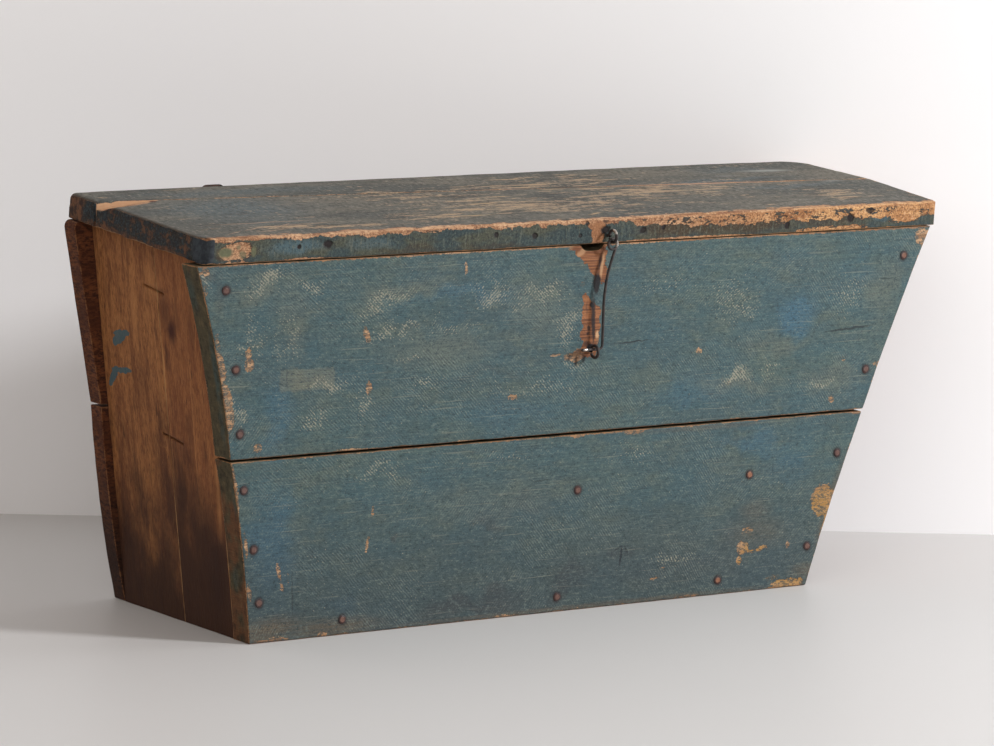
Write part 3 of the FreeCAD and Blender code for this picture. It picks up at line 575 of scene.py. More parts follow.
back_end, shader, place, timber, end_way = timber_surface("back board end", 0.82, (1, 2, 0))
end_grain = cloud(end_way, timber, (150, 420, 150), 4, 0.7)
rot = cloud(end_way, timber, (24, 30, 12), 4, 0.6)
wood = washed(colour(46, 20, 9), (end_grain, 0.36, 0.62, 1, 110, 62, 33),
    (rot, 0.45, 0.62, 0.7, 66, 30, 13))
wood = washed(wood, (parts(place)[2], 0.16, 0.03, 0.75, 32, 19, 14))
worn = use(loss, end_way, timber, reading(place, "rub"), 0.003, -0.1)
coat(shader, glazed(wood, worn["Bare"], 0.7, (134, 92, 60)), plus(end_grain, 1.3, rot))


def top_of_box(y):
    """The sloping plane through the boards' top edges."""
    return front_top + lid_slope * (y - front_y)


def back_board(low, high, bulge, rounded):
    """Places a spot of a back board; deep is measured from the outer face."""
    length = top_right - back_ends[back_top][0]

    def where(along, deep, across):
        y = back_outer_y - deep
        z = low + across * ((min(high, top_of_box(y)) - low) / (high - low))
        x_left, share = end_line(back_ends, min(z, back_top), 0)
        x_right = end_line(back_ends, min(z, back_top), 1)[0]
        curve = 4 * share * (1 - share)
        x_left, x_right = x_left - bulge * curve, x_right - right_hollow * curve
        above = z - (high - corner_round)
        if rounded and above > 0:
            x_left += corner_round - math.sqrt(max(0, corner_round ** 2 - above ** 2))
        return Vector((x_left + (x_right - x_left) * along / length, y, z))
    return where, (length, back_outer_y - back_inner_y, high - low)


back_skins = (dark_back, back_end, inside_pine)
for name, low, high, bulge, rounded, timber_number in (
        ("lower", 0, back_seam - half_gap, 0.0036, False, 3),
        ("upper", back_seam + half_gap, back_top, 0, True, 4)):
    where, size = back_board(low, high, bulge, rounded)
    bm = plank(size, (0.008, 0.005, 0.006), where, rubbed(0.0008, 0.004), timber_number)
    weathered_overhang(bm)
    finish_piece("back_plank_" + name, bm, back_skins, "chest", "back_board_" + name)

# ---- End boards --------------------------------------------------------------------------
# Each end is two upright pine boards between the front and the back, bare and mid-brown,
# with dirt at the foot. Two old saw cuts cross the joint on the left end, and a brush full
# of blue paint once touched it twice.
end_thick = 0.022
end_faces = {"left": (-0.3836, -left_lean), "right": (0.2828, right_lean)}
end_spans = {"front": (-0.09175, -0.00297), "back": (-0.00283, 0.10995)}
kerfs = ((0.1815, -0.0099), (0.3245, 0.0031))
kerf_half, kerf_reach, kerf_deep, kerf_turn = 0.0013, 0.019, 0.004, 8
kerf_stops = {"front": -0.0034, "back": -0.0024}

bare_end, shader, place, timber, grain_way = timber_surface("bare end boards", 0.78, (2, 1, 0))
axes = parts(place)
grain = use(pine, grain_way, timber, 0.014)
wood = glazed(colour(154, 102, 60), grain["Rings"], 0.5, (124, 74, 42))
blotch = cloud(grain_way, timber, (7, 42, 42), 4, 0.7)
wood = washed(wood, (blotch, 0.48, 0.34, 0.75, 172, 116, 66), (blotch, 0.5, 0.64, 0.75, 104, 58, 31),
    (grain["Fibre"], 0.46, 0.64, 0.6, 96, 56, 32))
flecks = cloud(grain_way, timber, (120, 520, 520), 3, 0.7)
wood = washed(wood, (flecks, 0.52, 0.64, 0.6, 80, 46, 28), (flecks, 0.46, 0.36, 0.4, 180, 128, 76))
wood = glazed(wood, between(axes[1], -0.0035, -0.0025, 1, 0), 0.3, (122, 68, 38))
rough_side = frayed(joined(axes[1], axes[2]), 5, 0.005, 120)
streak = cloud(grain_way, timber, (4, 120, 120), 3, 0.6)
wood = washed(wood, (streak, 0.52, 0.66, 0.5, 86, 49, 28))
wood = daubed(wood, rough_side, 0.9, (182, 126, 76), [
    (-3, 315, 1.6, 42, 1), (-4, 245, 2.6, 46, 1), (-86, 150, 6, 80, 0.7, 3),
    (8, 335, 18, 26, 0.4), (44, 300, 10, 60, 0.4, 3), (-6, 150, 1.2, 90, 0.9, 1),
    (8, 250, 1, 60, 0.5, -1), (-50, 200, 1.2, 110, 0.5, 1), (60, 150, 1.2, 80, 0.4)])
wood = daubed(wood, rough_side, 0.9, (66, 31, 18), [(-24, 288, 13, 20, 1, 8), (-14, 304, 16, 30, 0.6),
    (-10, 262, 4, 30, 0.6, 3), (-40, 196, 8, 26, 0.5), (-30, 172, 12, 20, 0.5),
    (6, 120, 10, 44, 0.6, 3), (-70, 60, 30, 60, 0.8), (40, 230, 24, 40, 0.3),
    (95, 100, 12, 100, 0.5)])
dirt = calc("SUBTRACT", cloud(place, timber, (14, 14, 9), 4, 0.6), times(axes[2], 2.2))
wood = washed(wood, (dirt, 0.02, 0.42, 0.92, 47, 24, 13))
brush = [(71, 273, 19, 4, 1, -7), (76, 268, 19, 6.5, 1, -28), (77, 236, 23, 3.8, 1, -7),
    (94, 228, 16, 5.5, 1, -50)]
brush_mask = between(marks(frayed(rough_side, 14, 0.004, 420), brush, 0.4), 0.3, 0.5)
wood = glazed(wood, brush_mask, 0.85, (48, 88, 98))
wood = glazed(wood, grain["Cracks"], 0.6, (36, 22, 16))
coat(shader, wood, plus(grain["Fibre"], 0.6, times(streak, 0.5)))

inside_upright, shader, place, timber, grain_way = timber_surface("inside of the end boards", 0.82, (2, 1, 0))
grain = use(pine, grain_way, timber, 0.014)
wood = tint(grain["Rings"], colour(172, 136, 96), colour(140, 100, 64))
wood = washed(wood, (grain["Fibre"], 0.42, 0.66, 1, 116, 82, 52))
coat(shader, wood, times(grain["Fibre"], 0.5))


def drawn_out(bm, faces):
    """Extrudes faces and gives the new ones and their vertices."""
    made = bmesh.ops.extrude_face_region(bm, geom=faces)["geom"]
    return ([g for g in made if isinstance(g, bmesh.types.BMFace)],
            [g for g in made if isinstance(g, bmesh.types.BMVert)])


def end_board(side, y_low, y_high):
    """Places a spot of an end board: along runs up it, deep runs in from the outer face."""
    foot, lean = end_faces[side]
    inwards = 1 if side == "left" else -1
    level_depth = math.hypot(1, lean)

    def where(up, deep, across):
        y = y_low + across
        z = up * top_of_box(y) / back_top
        return Vector((foot + lean * z + inwards * deep * level_depth, y, z))
    return where, (back_top, end_thick, y_high - y_low)


end_skins = (bare_end, inside_upright, inside_upright)
for side in end_faces:
    for position, (y_low, y_high) in end_spans.items():
        where, size = end_board(side, y_low, y_high)
        number = 5 + ("left", "right").index(side) * 2 + ("front", "back").index(position)
        bm = plank(size, (0.007, 0.006, 0.007), where, rubbed(0.0003, 0.0009), number, 0.0006)
        if side == "left":
            # Each saw cut is a narrow pocket: the face is slit along its two sides and pressed in.
            for height, y_middle in kerfs:
                slant = Matrix.Rotation(math.radians(kerf_turn), 3, "X")
                ends_at = [kerf_stops[position], y_middle - kerf_reach, y_middle + kerf_reach]
                centre = Vector((end_faces["left"][0] - left_lean * height, y_middle, height))
                across_cut = slant @ Vector((0, 0, 1))
                slits = [(across_cut, centre + across_cut * kerf_half * way) for way in (1, -1)]
                slits += [(Vector((0, 1, 0)), Vector((0, y, height))) for y in ends_at]
                for normal, point in slits:
                    near = [f for f in bm.faces
                            if f.material_index == 0 and abs(f.calc_center_median().z - height) < 0.03]
                    edges, verts = {e for f in near for e in f.edges}, {v for f in near for v in f.verts}
                    bmesh.ops.bisect_plane(bm, geom=near + list(edges) + list(verts), plane_co=point,
                                           plane_no=normal, dist=1e-7)
                low_y = max(ends_at[1], y_low if position == "front" else kerf_stops["back"])
                high_y = min(ends_at[2], kerf_stops["front"] if position == "front" else y_high)
                pocket = [f for f in bm.faces
                          if f.material_index == 0 and low_y < f.calc_center_median().y < high_y
                          and abs((f.calc_center_median() - centre).dot(across_cut)) < kerf_half]
                bmesh.ops.translate(bm, verts=drawn_out(bm, pocket)[1], vec=(kerf_deep, 0, 0))
                bmesh.ops.delete(bm, geom=pocket, context="FACES")
        finish_piece("%s_end_plank_%s" % (side, position), bm, end_skins, "chest",
                     "%s_end_board_%s" % (side, position))

# ---- Floor of the chest ------------------------------------------------------------------
# Two lengthwise boards between all four sides, held by nails through the front and back.
# They stay as pale as the rest of the inside and never touch the ground.
floor_spans = {"front": (-0.09175, 0.0192), "back": (0.021, 0.10995)}
floor_low, floor_high, floor_length = 0.003, 0.027, 0.634
floor_insets = {"left": 0.02232, "right": 0.0235}
for position, (y_low, y_high) in floor_spans.items():
    def where(along, deep, across, y_low=y_low):
        z = floor_high - deep
        x_left = end_faces["left"][0] - left_lean * z + floor_insets["left"]
        x_right = end_faces["right"][0] + right_lean * z - floor_insets["right"]
        return Vector((x_left + (x_right - x_left) * along / floor_length, y_low + across, z))
    size = (floor_length, floor_high - floor_low, y_high - y_low)
    number = 9 + ("front", "back").index(position)
    bm = plank(size, (0.014, 0.006, 0.012), where, rubbed(0.0004, 0.0014), number)
    finish_piece("floor_plank_" + position, bm, (inside_pine, inside_pine, inside_pine), "chest",
                 "bottom_board_" + position)

# ---- Lid boards --------------------------------------------------------------------------
# Two tapered pine boards laid head to tail, with a slanting seam between them. The top is
# rubbed to a grey-brown, its front arris is bare and ragged, the front left corner is knocked
# off and a splinter has split away beside the seam.
hinge_y, hinge_z = 0.1349, 0.3785307
slope_angle = math.atan(lid_slope)
lid_thick = 0.025
lid_top = hinge_z + 0.0004 + lid_thick
lid_back = 0.1311
lid_front = hinge_y - (hinge_y - front_y) / math.cos(slope_angle) - 0.0005
seam_ys = (lid_front + 0.203, lid_front + 0.134)
lid_length, lid_span = 0.9, 0.25
lid_right = ((lid_front, top_right + 0.006), (seam_ys[1], top_right + 0.0234),
             (lid_back - 0.005, top_right + 0.016))
about_hinge = Matrix.Translation((0, hinge_y, hinge_z))
onto_box = about_hinge @ Matrix.Rotation(slope_angle, 4, "X") @ about_hinge.inverted()

lid_paint, shader, place, timber, grain_way = timber_surface("worn lid paint", 0.72, (0, 1, 2))
axes = parts(place)
lid_flat = joined(axes[0], axes[1])
rough_lid = frayed(lid_flat, 7, 0.005, 120)
soft_lid = frayed(lid_flat, 8, 0.05, 18)
grain = use(pine, grain_way, timber, 0.012)
sawn = use(saw, lid_flat, timber, 0.0052)
tone = cloud(grain_way, timber, (6, 18, 18), 4, 0.6)
paint = washed(colour(74, 76, 72), (tone, 0.38, 0.62, 1, 102, 98, 88))
paint = daubed(paint, soft_lid, 0.8, (82, 92, 94), [(-330, 10, 120, 90, 1),
    (-270, 100, 170, 26, 0.8), (270, 36, 130, 14, 1, 4), (330, -10, 110, 14, 0.8, 3),
    (330, 90, 90, 26, 0.6), (-330, -60, 60, 40, 0.6)])
arcs = marks(soft_lid, [(-235, 20, 90, 60, 1), (330, 0, 60, 30, 0.4)], 0.9)
paint = tint(times(sawn["Lines"], plus(arcs, 0.45, 0.08)), paint, colour(116, 112, 102))
speckle = cloud(grain_way, timber, (240, 130, 130), 3, 0.8)
paint = washed(paint, (speckle, 0.53, 0.63, 0.75, 42, 42, 40), (speckle, 0.46, 0.36, 0.6, 136, 132, 122))
along_grain = cloud(grain_way, timber, (18, 95, 95), 4, 0.7)
streak_places = [(0, -40, 240, 70, 1), (150, 0, 180, 60, 1, 5), (-120, 40, 110, 50, 0.8),
    (60, 60, 200, 40, 1, 4), (120, 96, 180, 24, 0.6), (350, -60, 80, 40, 0.9),
    (-60, 0, 80, 100, 0.7), (-300, -92, 120, 18, 1), (-150, -70, 80, 40, 0.8)]
streak_zone = marks(soft_lid, streak_places, 0.9)
dark_grain = times(between(along_grain, 0.38, 0.47, 0.85, 0), plus(streak_zone, 0.6, 0.4))
paint = tint(dark_grain, paint, colour(46, 44, 41))
fine_grain = cloud(grain_way, calc("ADD", timber, 30), (26, 150, 150), 4, 0.72)
streaks = between(calc("ADD", times(speckle, -0.3), plus(streak_zone, 0.15, fine_grain)), 0.45, 0.55)
streaks = times(streaks, between(grain["Fibre"], 0.42, 0.62, 0.86, 0.4))
paint = tint(streaks, paint, colour(182, 154, 122))
paint = tint(times(between(fine_grain, 0.37, 0.45, 0.7, 0), streak_zone), paint, colour(62, 52, 46))
paint = daubed(paint, rough_lid, 0.9, (186, 156, 116), [(110, 28, 40, 3, 1, -3),
    (170, 24, 30, 2.4, 0.9, -3), (-60, -20, 24, 3, 0.8), (-20, 10, 20, 3, 0.9),
    (60, 34, 26, 2.6, 0.7), (-110, -76, 30, 3.4, 0.7), (20, -96, 16, 3, 0.8, 20)])
paint = daubed(paint, rough_lid, 0.9, (142, 144, 140), [(368, 78, 46, 9, 0.9, -4), (300, 60, 26, 8, 0.3),
    (400, 8, 20, 6, 0.5)])
paint = daubed(paint, rough_lid, 0.7, (184, 150, 120), [
    (-341, -58.5, 75, 1.3, 0.9, 1.2), (-300, -74, 46, 1.2, 0.8, 3),
    (-365, -84, 26, 1.2, 0.8, 24), (-330, -76, 20, 1.2, 0.7, 30), (-350, -96, 30, 1.2, 0.7, 12),
    (-400, -100, 20, 1.2, 0.5, 30)])
paint = daubed(paint, frayed(lid_flat, 21, 0.006, 90), 0.8, (172, 136, 112),
    [(250, 26.2, 205, 4.6, 1, -4.4), (10, 44.6, 60, 3.2, 0.6, -4.4)])
ahead = calc("SUBTRACT", axes[1], lid_front)
right_share = between(axes[0], 0.02, 0.4)
wavy = plus(cloud(grain_way, timber, (30, 60, 60), 3, 0.6), 0.03, -0.015)
band_reach = plus(right_share, 0.003, 0.016)
front_loss = between(calc("ADD", ahead, wavy), 0.002, band_reach, 1, 0)
# The splinter's bed: a long triangle between the seam and a slanting line, on the front board only.
near_bed = parts(frayed(lid_flat, 22, 0.004, 170))
bed_slant, bed_line = 0.3766, 0.2134
past_bed_line = between(plus(near_bed[0], -bed_slant, near_bed[1]), bed_line, bed_line + 0.0012)
splinter = times(past_bed_line, between(timber, 11.4, 11.6, 1.4, 0))
bare_right = marks(rough_lid, [(430, -70, 16, 46, 0.5), (446, 10, 10, 30, 0.4)], 0.8)
extra = most(splinter, front_loss, bare_right)
worn = use(loss, grain_way, timber, reading(place, "rub"), 0.0045, calc("SUBTRACT", extra, 0.14))
wood = tint(grain["Rings"], colour(188, 150, 116), colour(160, 118, 84))
right_wood = tint(grain["Fibre"], colour(206, 158, 108), colour(152, 106, 66))
wood = tint(times(right_share, 0.7), wood, right_wood)
wood = washed(wood, (along_grain, 0.5, 0.4, 0.7, 112, 72, 52), (speckle, 0.52, 0.64, 0.7, 112, 74, 54),
    (speckle, 0.46, 0.36, 0.5, 214, 182, 146))
split_wood = washed(colour(196, 154, 120), (grain["Fibre"], 0.4, 0.6, 1, 152, 110, 80))
wood = tint(splinter, wood, split_wood)
old_nail = marks(rough_lid, [(-386, 70, 5, 4, 1), (441, 6, 3, 4, 0.9)], 0.5)
wood = glazed(wood, grain["Cracks"], 0.7, (62, 42, 32))
# Where the paint is thin beside the bare wood it is darkened: partly dirt, partly a painted shade line under
# the raised edge of the paint.
paint = glazed(paint, worn["Thin"], 0.4, (74, 60, 50))
top_colour = tint(old_nail, tint(worn["Bare"], paint, wood), colour(74, 34, 26))
end_lean, end_line_x = 0.0142, -0.4435
from_end = plus(axes[1], -end_lean, axes[0])
top_colour = washed(top_colour, (from_end, end_line_x + 0.005, end_line_x, 0.8, 72, 62, 52))
height = plus(along_grain, 0.9, times(speckle, -0.4))
height = plus(worn["Bare"], -0.3, height)
coat(shader, top_colour, plus(times(sawn["Lines"], arcs), 0.2, height))

lid_edge, shader, place, timber, grain_way = timber_surface("lid edge, painted", 0.74, (0, 2, 1))
axes = parts(place)
edge_flat = joined(axes[0], axes[2])
rough_edge = frayed(edge_flat, 9, 0.004, 180)
soft_edge = frayed(edge_flat, 10, 0.02, 40)
combed = cloud(place, timber, (420, 420, 60), 2, 0.6)
tone = cloud(place, timber, (22, 26, 60), 3, 0.6)
speckle = cloud(place, timber, (440, 440, 440), 3, 0.75)
paint = washed(colour(46, 60, 62), (tone, 0.42, 0.6, 1, 66, 68, 56))
paint = daubed(paint, soft_edge, 0.7, (62, 50, 34), [(-424, 375, 12, 9, 1), (-392, 374, 9, 9, 0.8),
    (110, 374, 80, 13, 1), (190, 374, 80, 13, 1), (290, 374, 60, 8, 0.7),
    (-210, 368, 60, 4, 0.5), (-120, 366, 60, 5, 0.5)])
paint = daubed(paint, soft_edge, 0.7, (66, 86, 92), [(-345, 376, 46, 9, 1), (-260, 376, 40, 9, 0.6),
    (360, 376, 16, 8, 0.9)])
paint = washed(paint, (combed, 0.54, 0.68, 0.5, 94, 98, 86), (speckle, 0.52, 0.62, 0.65, 30, 34, 34),
    (speckle, 0.46, 0.36, 0.4, 104, 106, 94))
facet_lean, facet_line_x = 0.72, -0.5223
on_end = between(plus(axes[1], -end_lean, axes[0]), end_line_x, end_line_x + 0.001, 1, 0)
on_facet = between(plus(axes[1], facet_lean, axes[0]), facet_line_x, facet_line_x + 0.0008, 1, 0)
at_left_end = most(on_end, on_facet)
crumbled = cloud(place, timber, (110, 150, 110), 4, 0.75)
end_paint = washed(colour(33, 44, 51), (crumbled, 0.44, 0.56, 1, 40, 36, 30),
    (speckle, 0.48, 0.6, 0.8, 23, 20, 18), (speckle, 0.46, 0.36, 0.4, 86, 88, 84))
under_side = plus(axes[1], -lid_slope, axes[2])
rough_low = plus(cloud(place, timber, (70, 45, 70), 5, 0.7), 0.026, -0.013)
low_on_end = between(calc("ADD", under_side, rough_low), 0.3728, 0.3768, 1, 0)
towards_back = between(axes[1], -0.1, -0.07)
brown_spots = between(cloud(place, timber, (60, 60, 90), 4, 0.75), 0.53, 0.61, 0, 0.85)
brown_end = most(brown_spots, times(low_on_end, towards_back), between(axes[1], 0.098, 0.108))
brown_wood = washed(colour(52, 34, 26), (crumbled, 0.42, 0.58, 1, 104, 68, 44))
facet_paint = washed(colour(36, 42, 49), (crumbled, 0.4, 0.6, 1, 55, 61, 67))
end_paint = tint(on_facet, tint(brown_end, end_paint, brown_wood), facet_paint)
paint = tint(at_left_end, paint, end_paint)
holes = [(-341, 376, 3, 3, 1), (-309, 377.5, 7, 5, 1), (-116, 377.5, 3.4, 3.4, 0.9),
    (-70, 374.6, 4, 4, 0.9), (-16, 372.2, 3, 3, 0.8), (60, 374.6, 5, 4, 0.9),
    (85, 376.4, 3, 3, 1), (240, 371.5, 4, 5, 1), (321, 375.7, 6, 6, 1), (346, 382, 7, 4, 0.9),
    (14, 377, 7, 5, 1), (-8, 384, 3, 3, 0.8), (14, 386, 5, 3, 0.7), (236, 381, 6, 1.6, 0.6)]
drop = plus(cloud(place, timber, (70, 70, 70), 4, 0.65), 0.018, -0.009)
worn_above = plus(between(axes[0], 0, 0.16), -0.009, 0.3834)
top_band = between(calc("ADD", axes[2], drop), worn_above, calc("ADD", worn_above, 0.0008))
tan_places = [(-410, 375, 30, 14, 1.2), (-335, 365, 30, 2, 0.7), (3, 383, 15, 9, 1.5),
    (5, 373, 12, 13, 1.5, 8), (-405, 378, 7, 9, 1.1, 10), (-436, 370, 3, 8, 0.8),
    (300, 366.5, 70, 3.4, 1), (110, 364.8, 100, 1.8, 0.9), (394, 378, 32, 14, 1.4),
    (384, 370, 20, 3.4, 1), (412, 384, 26, 6, 1.2), (428, 388, 12, 7, 1.3),
    (340, 370, 16, 4, 0.6)]
not_left = calc("SUBTRACT", 1, at_left_end)
extra = times(most(top_band, marks(rough_edge, tan_places, 0.6)), not_left)
worn = use(loss, place, timber, reading(place, "rub"), 0.0032, calc("SUBTRACT", extra, 0.22))
grain = use(pine, grain_way, timber, 0.005)
wood = washed(colour(178, 138, 104), (tone, 0.4, 0.6, 1, 148, 106, 74))
right_wood = washed(colour(196, 150, 100), (tone, 0.4, 0.6, 1, 154, 104, 60))
wood = tint(between(axes[0], 0.05, 0.3), wood, right_wood)
wood = washed(wood, (grain["Fibre"], 0.5, 0.62, 0.6, 104, 68, 46), (speckle, 0.5, 0.6, 0.8, 98, 64, 46),
    (speckle, 0.46, 0.36, 0.5, 206, 174, 140))
stained = marks(soft_edge, [(6, 377, 20, 18, 1)], 0.5)
wood = tint(times(stained, 0.75), wood, tint(speckle, colour(168, 112, 70), colour(74, 42, 28)))
split_here = times(limits(axes[1], 0.01, 0.1, 0.004), between(axes[0], -0.384, -0.378, 1, 0))
# Where the paint is thin beside the bare wood it is darkened: partly dirt, partly a painted shade line under
# the raised edge of the paint.
paint = tint(times(worn["Thin"], 0.7, not_left), paint, colour(58, 44, 36))
painted = tint(times(worn["Bare"], not_left), paint, wood)
olive_scraps = [(-422, 374.5, 11, 6.4, 1), (-391, 374.5, 4, 6.5, 1), (-403, 372, 5, 5, 0.7, 20),
    (-408, 379, 3, 3, 0.7)]
scraps = times(marks(rough_edge, olive_scraps, 0.5), not_left)
painted = tint(scraps, painted, tint(speckle, colour(62, 66, 50), colour(112, 112, 84)))
painted = tint(times(split_here, not_left), painted, colour(190, 150, 116))
# The holes are pressed in only by bump; their near-black colour is painted shade of their depth.
painted_hole_shade = times(marks(rough_edge, holes, 0.5), not_left)
height = plus(worn["Bare"], -0.3, times(combed, 0.3))
height = plus(tone, 0.8, plus(speckle, -0.4, height))
coat(shader, tint(painted_hole_shade, painted, colour(26, 18, 18)), plus(painted_hole_shade, -1.6, height))

under_lid, shader, place, timber, grain_way = timber_surface("underside of the lid", 0.82, (0, 1, 2))
grain = use(pine, grain_way, timber, 0.013)
wood = glazed(colour(166, 130, 94), grain["Rings"], 0.6, (134, 98, 66))
wood = washed(wood, (grain["Fibre"], 0.42, 0.66, 0.8, 114, 84, 56))
damp = cloud(grain_way, timber, (4, 16, 16), 4, 0.65)
coat(shader, washed(wood, (damp, 0.45, 0.66, 0.6, 100, 76, 54)), times(grain["Fibre"], 0.5))


def lid_left(y):
    return top_left + 0.005 + 0.0036 * (y - lid_front) / (lid_back - lid_front)


def lid_right_at(y):
    """The right end line of the lid, which kinks at the seam."""
    (y0, x0), (y1, x1), (y2, x2) = lid_right
    if y < y1:
        return x0 + (x1 - x0) * (y - y0) / (y1 - y0)
    return x1 + (x2 - x1) * (y - y1) / (y2 - y1)


def seam_at(x):
    x_left, x_right = lid_left(seam_ys[0]), lid_right[1][1]
    return seam_ys[0] + (seam_ys[1] - seam_ys[0]) * (x - x_left) / (x_right - x_left)


def back_edge_at(x):
    """The back edge: straight, then coming forward a little, then the rounded corner."""
    far_x, far_y = lid_right[2][1], lid_right[2][0]
    plain = lid_back - max(0, x - (far_x - 0.17)) / 0.17 * (lid_back - far_y)
    if x < far_x - 0.0273:
        return plain
    across_arc = min(1, (x - (far_x - 0.02817)) / 0.03)
    return far_y - 0.02914 + 0.03 * max(0.0648, math.sqrt(1 - across_arc ** 2))


def lid_where(near_edge, far_edge):
    """Places a spot of a lid board, drawn level and then laid on the slope."""
    def where(along, deep, across):
        share = across / lid_span
        x = 0
        for _ in range(8):
            y = near_edge(x) + (far_edge(x) - near_edge(x)) * share
            x = lid_left(y) + (lid_right_at(y) - lid_left(y)) * along / lid_length
        return Vector((x, y, lid_top - deep))
    return where


front_where = lid_where(lambda x: lid_front, lambda x: seam_at(x) - 0.00045)
back_where = lid_where(lambda x: seam_at(x) + 0.00045, back_edge_at)
lid_corner = Vector((lid_left(lid_front), lid_front, lid_top))
splinter_x, splinter_y = lid_left(seam_ys[0]), seam_ys[0]


def lid_front_arris(at, spot):
    """The front arris is worn far more than the others."""
    plain = 0.0012 + 0.0024 * lumps(spot * 38) ** 2
    if at[2] < 0.015 and at[1] < 0.014:
        ragged = lumps(spot * 30) + 0.5 * noise.noise(spot * 130)
        return max(plain, 0.0022 + 0.0056 * max(0, ragged))
    if at[0] < 0.015:
        return plain + 0.0034 * max(0, 0.6 + noise.noise(spot * 60) + 0.7 * noise.noise(spot * 170))
    return plain


def lid_back_arris(at, spot):
    """The back board's left end is rubbed rounder than its other arrises."""
    plain = 0.001 + 0.003 * lumps(spot * 38) ** 2
    return plain + (0.0052 if at[0] < 0.02 and at[1] < 0.012 else 0)


bm = plank((lid_length, lid_thick, lid_span), (0.0045, 0.003, 0.004), front_where, lid_front_arris, 11)
chip_points = [lid_corner + Vector(v) for v in ((0.011, 0, 0), (0, 0.015, 0), (0.0075, 0, -lid_thick))]
chip_out = (chip_points[1] - chip_points[0]).cross(chip_points[2] - chip_points[0]).normalized()
if chip_out.dot(lid_corner - chip_points[0]) < 0:
    chip_out = -chip_out
for v in bm.verts:
    outside = (v.co - chip_points[0]).dot(chip_out)
    if outside > 0:
        v.co -= chip_out * (outside + 0.0006 * lumps(v.co * 300))
    # The splinter's bed falls from a slanting rim down to the seam, and rises along its length.
    run_in = max(0, v.co.x - splinter_x) / 0.062
    rim_y = splinter_y - 0.034 + 0.014 * run_in + 0.0012 * noise.noise(v.co * 150)
    if run_in < 1 and v.co.y > rim_y and v.co.z > lid_top - 0.014:
        down = min(1, (v.co.y - rim_y) / 0.024) * (1 - run_in) ** 0.7
        v.co.z = min(v.co.z, lid_top - 0.008 * down - 0.0007 * lumps(v.co * 320))
round_x, round_y, corner_r = lid_right[0][1] - 0.006, lid_front + 0.006, 0.006
for v in bm.verts:
    reach = math.hypot(v.co.x - round_x, v.co.y - round_y)
    if v.co.x > round_x and v.co.y < round_y and reach > corner_r:
        v.co.x = round_x + (v.co.x - round_x) * corner_r / reach
        v.co.y = round_y + (v.co.y - round_y) * corner_r / reach
bmesh.ops.transform(bm, matrix=onto_box, verts=bm.verts)
lid_skins = (lid_paint, lid_edge, under_lid)
finish_piece("lid_plank_front", bm, lid_skins, "lid", "lid_board_front")

bm = plank((lid_length, lid_thick, lid_span), (0.0055, 0.004, 0.004), back_where, lid_back_arris, 12)
bmesh.ops.transform(bm, matrix=onto_box, verts=bm.verts)
finish_piece("lid_plank_back", bm, lid_skins, "lid", "lid_board_back")

# ---- Battens under the lid ---------------------------------------------------------------
# A pine batten crosses the lid inside each end and ties the two lid boards together. It
# keeps clear of the walls, and its nails are driven up into the boards.
batten_low_y, batten_high_y = -0.0849, 0.1031
batten_thick, batten_width = 0.018, 0.040
batten_xs = {"left": -0.40129, "right": 0.33892}
for number, (side, x_start) in enumerate(batten_xs.items()):
    def where(along, deep, across, x_start=x_start):
        return Vector((x_start + across, batten_low_y + along, lid_top - lid_thick - batten_thick + deep))
    size = (batten_high_y - batten_low_y, batten_thick, batten_width)
    bm = plank(size, (0.006, 0.005, 0.006), where, rubbed(0.0012, 0.0034), 13 + number)
    bmesh.ops.transform(bm, matrix=onto_box, verts=bm.verts)
    finish_piece("batten_" + side, bm, (inside_pine, inside_pine, inside_pine), "lid",
                 "lid_batten_" + side)

# ---- Iron: strap hinges ------------------------------------------------------------------
# Each hinge is a long strap on the back board, a short leaf on the lid's back edge and a
# loose pin through their knuckles. The iron is thin, black and rusty.
rusty, shader, place = surface("rusty iron", 0.62, 0.5)
scale_patches = cloud(place, 0, (140, 140, 140), 4, 0.65)
pits = cloud(place, 4, (700, 700, 700), 3, 0.6)
iron = washed(colour(34, 25, 26), (scale_patches, 0.4, 0.6, 1, 72, 46, 38),
    (pits, 0.56, 0.68, 0.8, 122, 72, 44))
coat(shader, iron, plus(pits, 0.35, times(scale_patches, 0.4)),
     Metallic=between(scale_patches, 0.3, 0.6, 0.5, 0),
     Roughness=between(scale_patches, 0.35, 0.6, 0.42, 0.8))

strap_width, strap_thick, strap_length, sheet_gap = 0.028, 0.0018, 0.092, 0.0001
third = strap_width / 3
knuckle_r, pin_r = 0.0035, 0.0017
hinge_xs = {"left": -0.2809, "right": 0.2473}
leaf_rise = {"left": 0.0268, "right": 0.022}


def corrode(bm, deep):
    """Rust has eaten the iron unevenly."""
    bm.normal_update()
    for v in bm.verts:
        v.co -= v.normal * deep * lumps(v.co * 420)


def eased(bm, rims, width):
    """Rounds off the edges of sheet or pin."""
    bmesh.ops.bevel(bm, geom=rims, offset=width, offset_type="OFFSET", segments=2, profile=0.5,
                    affect="EDGES", material=-1, clamp_overlap=True)


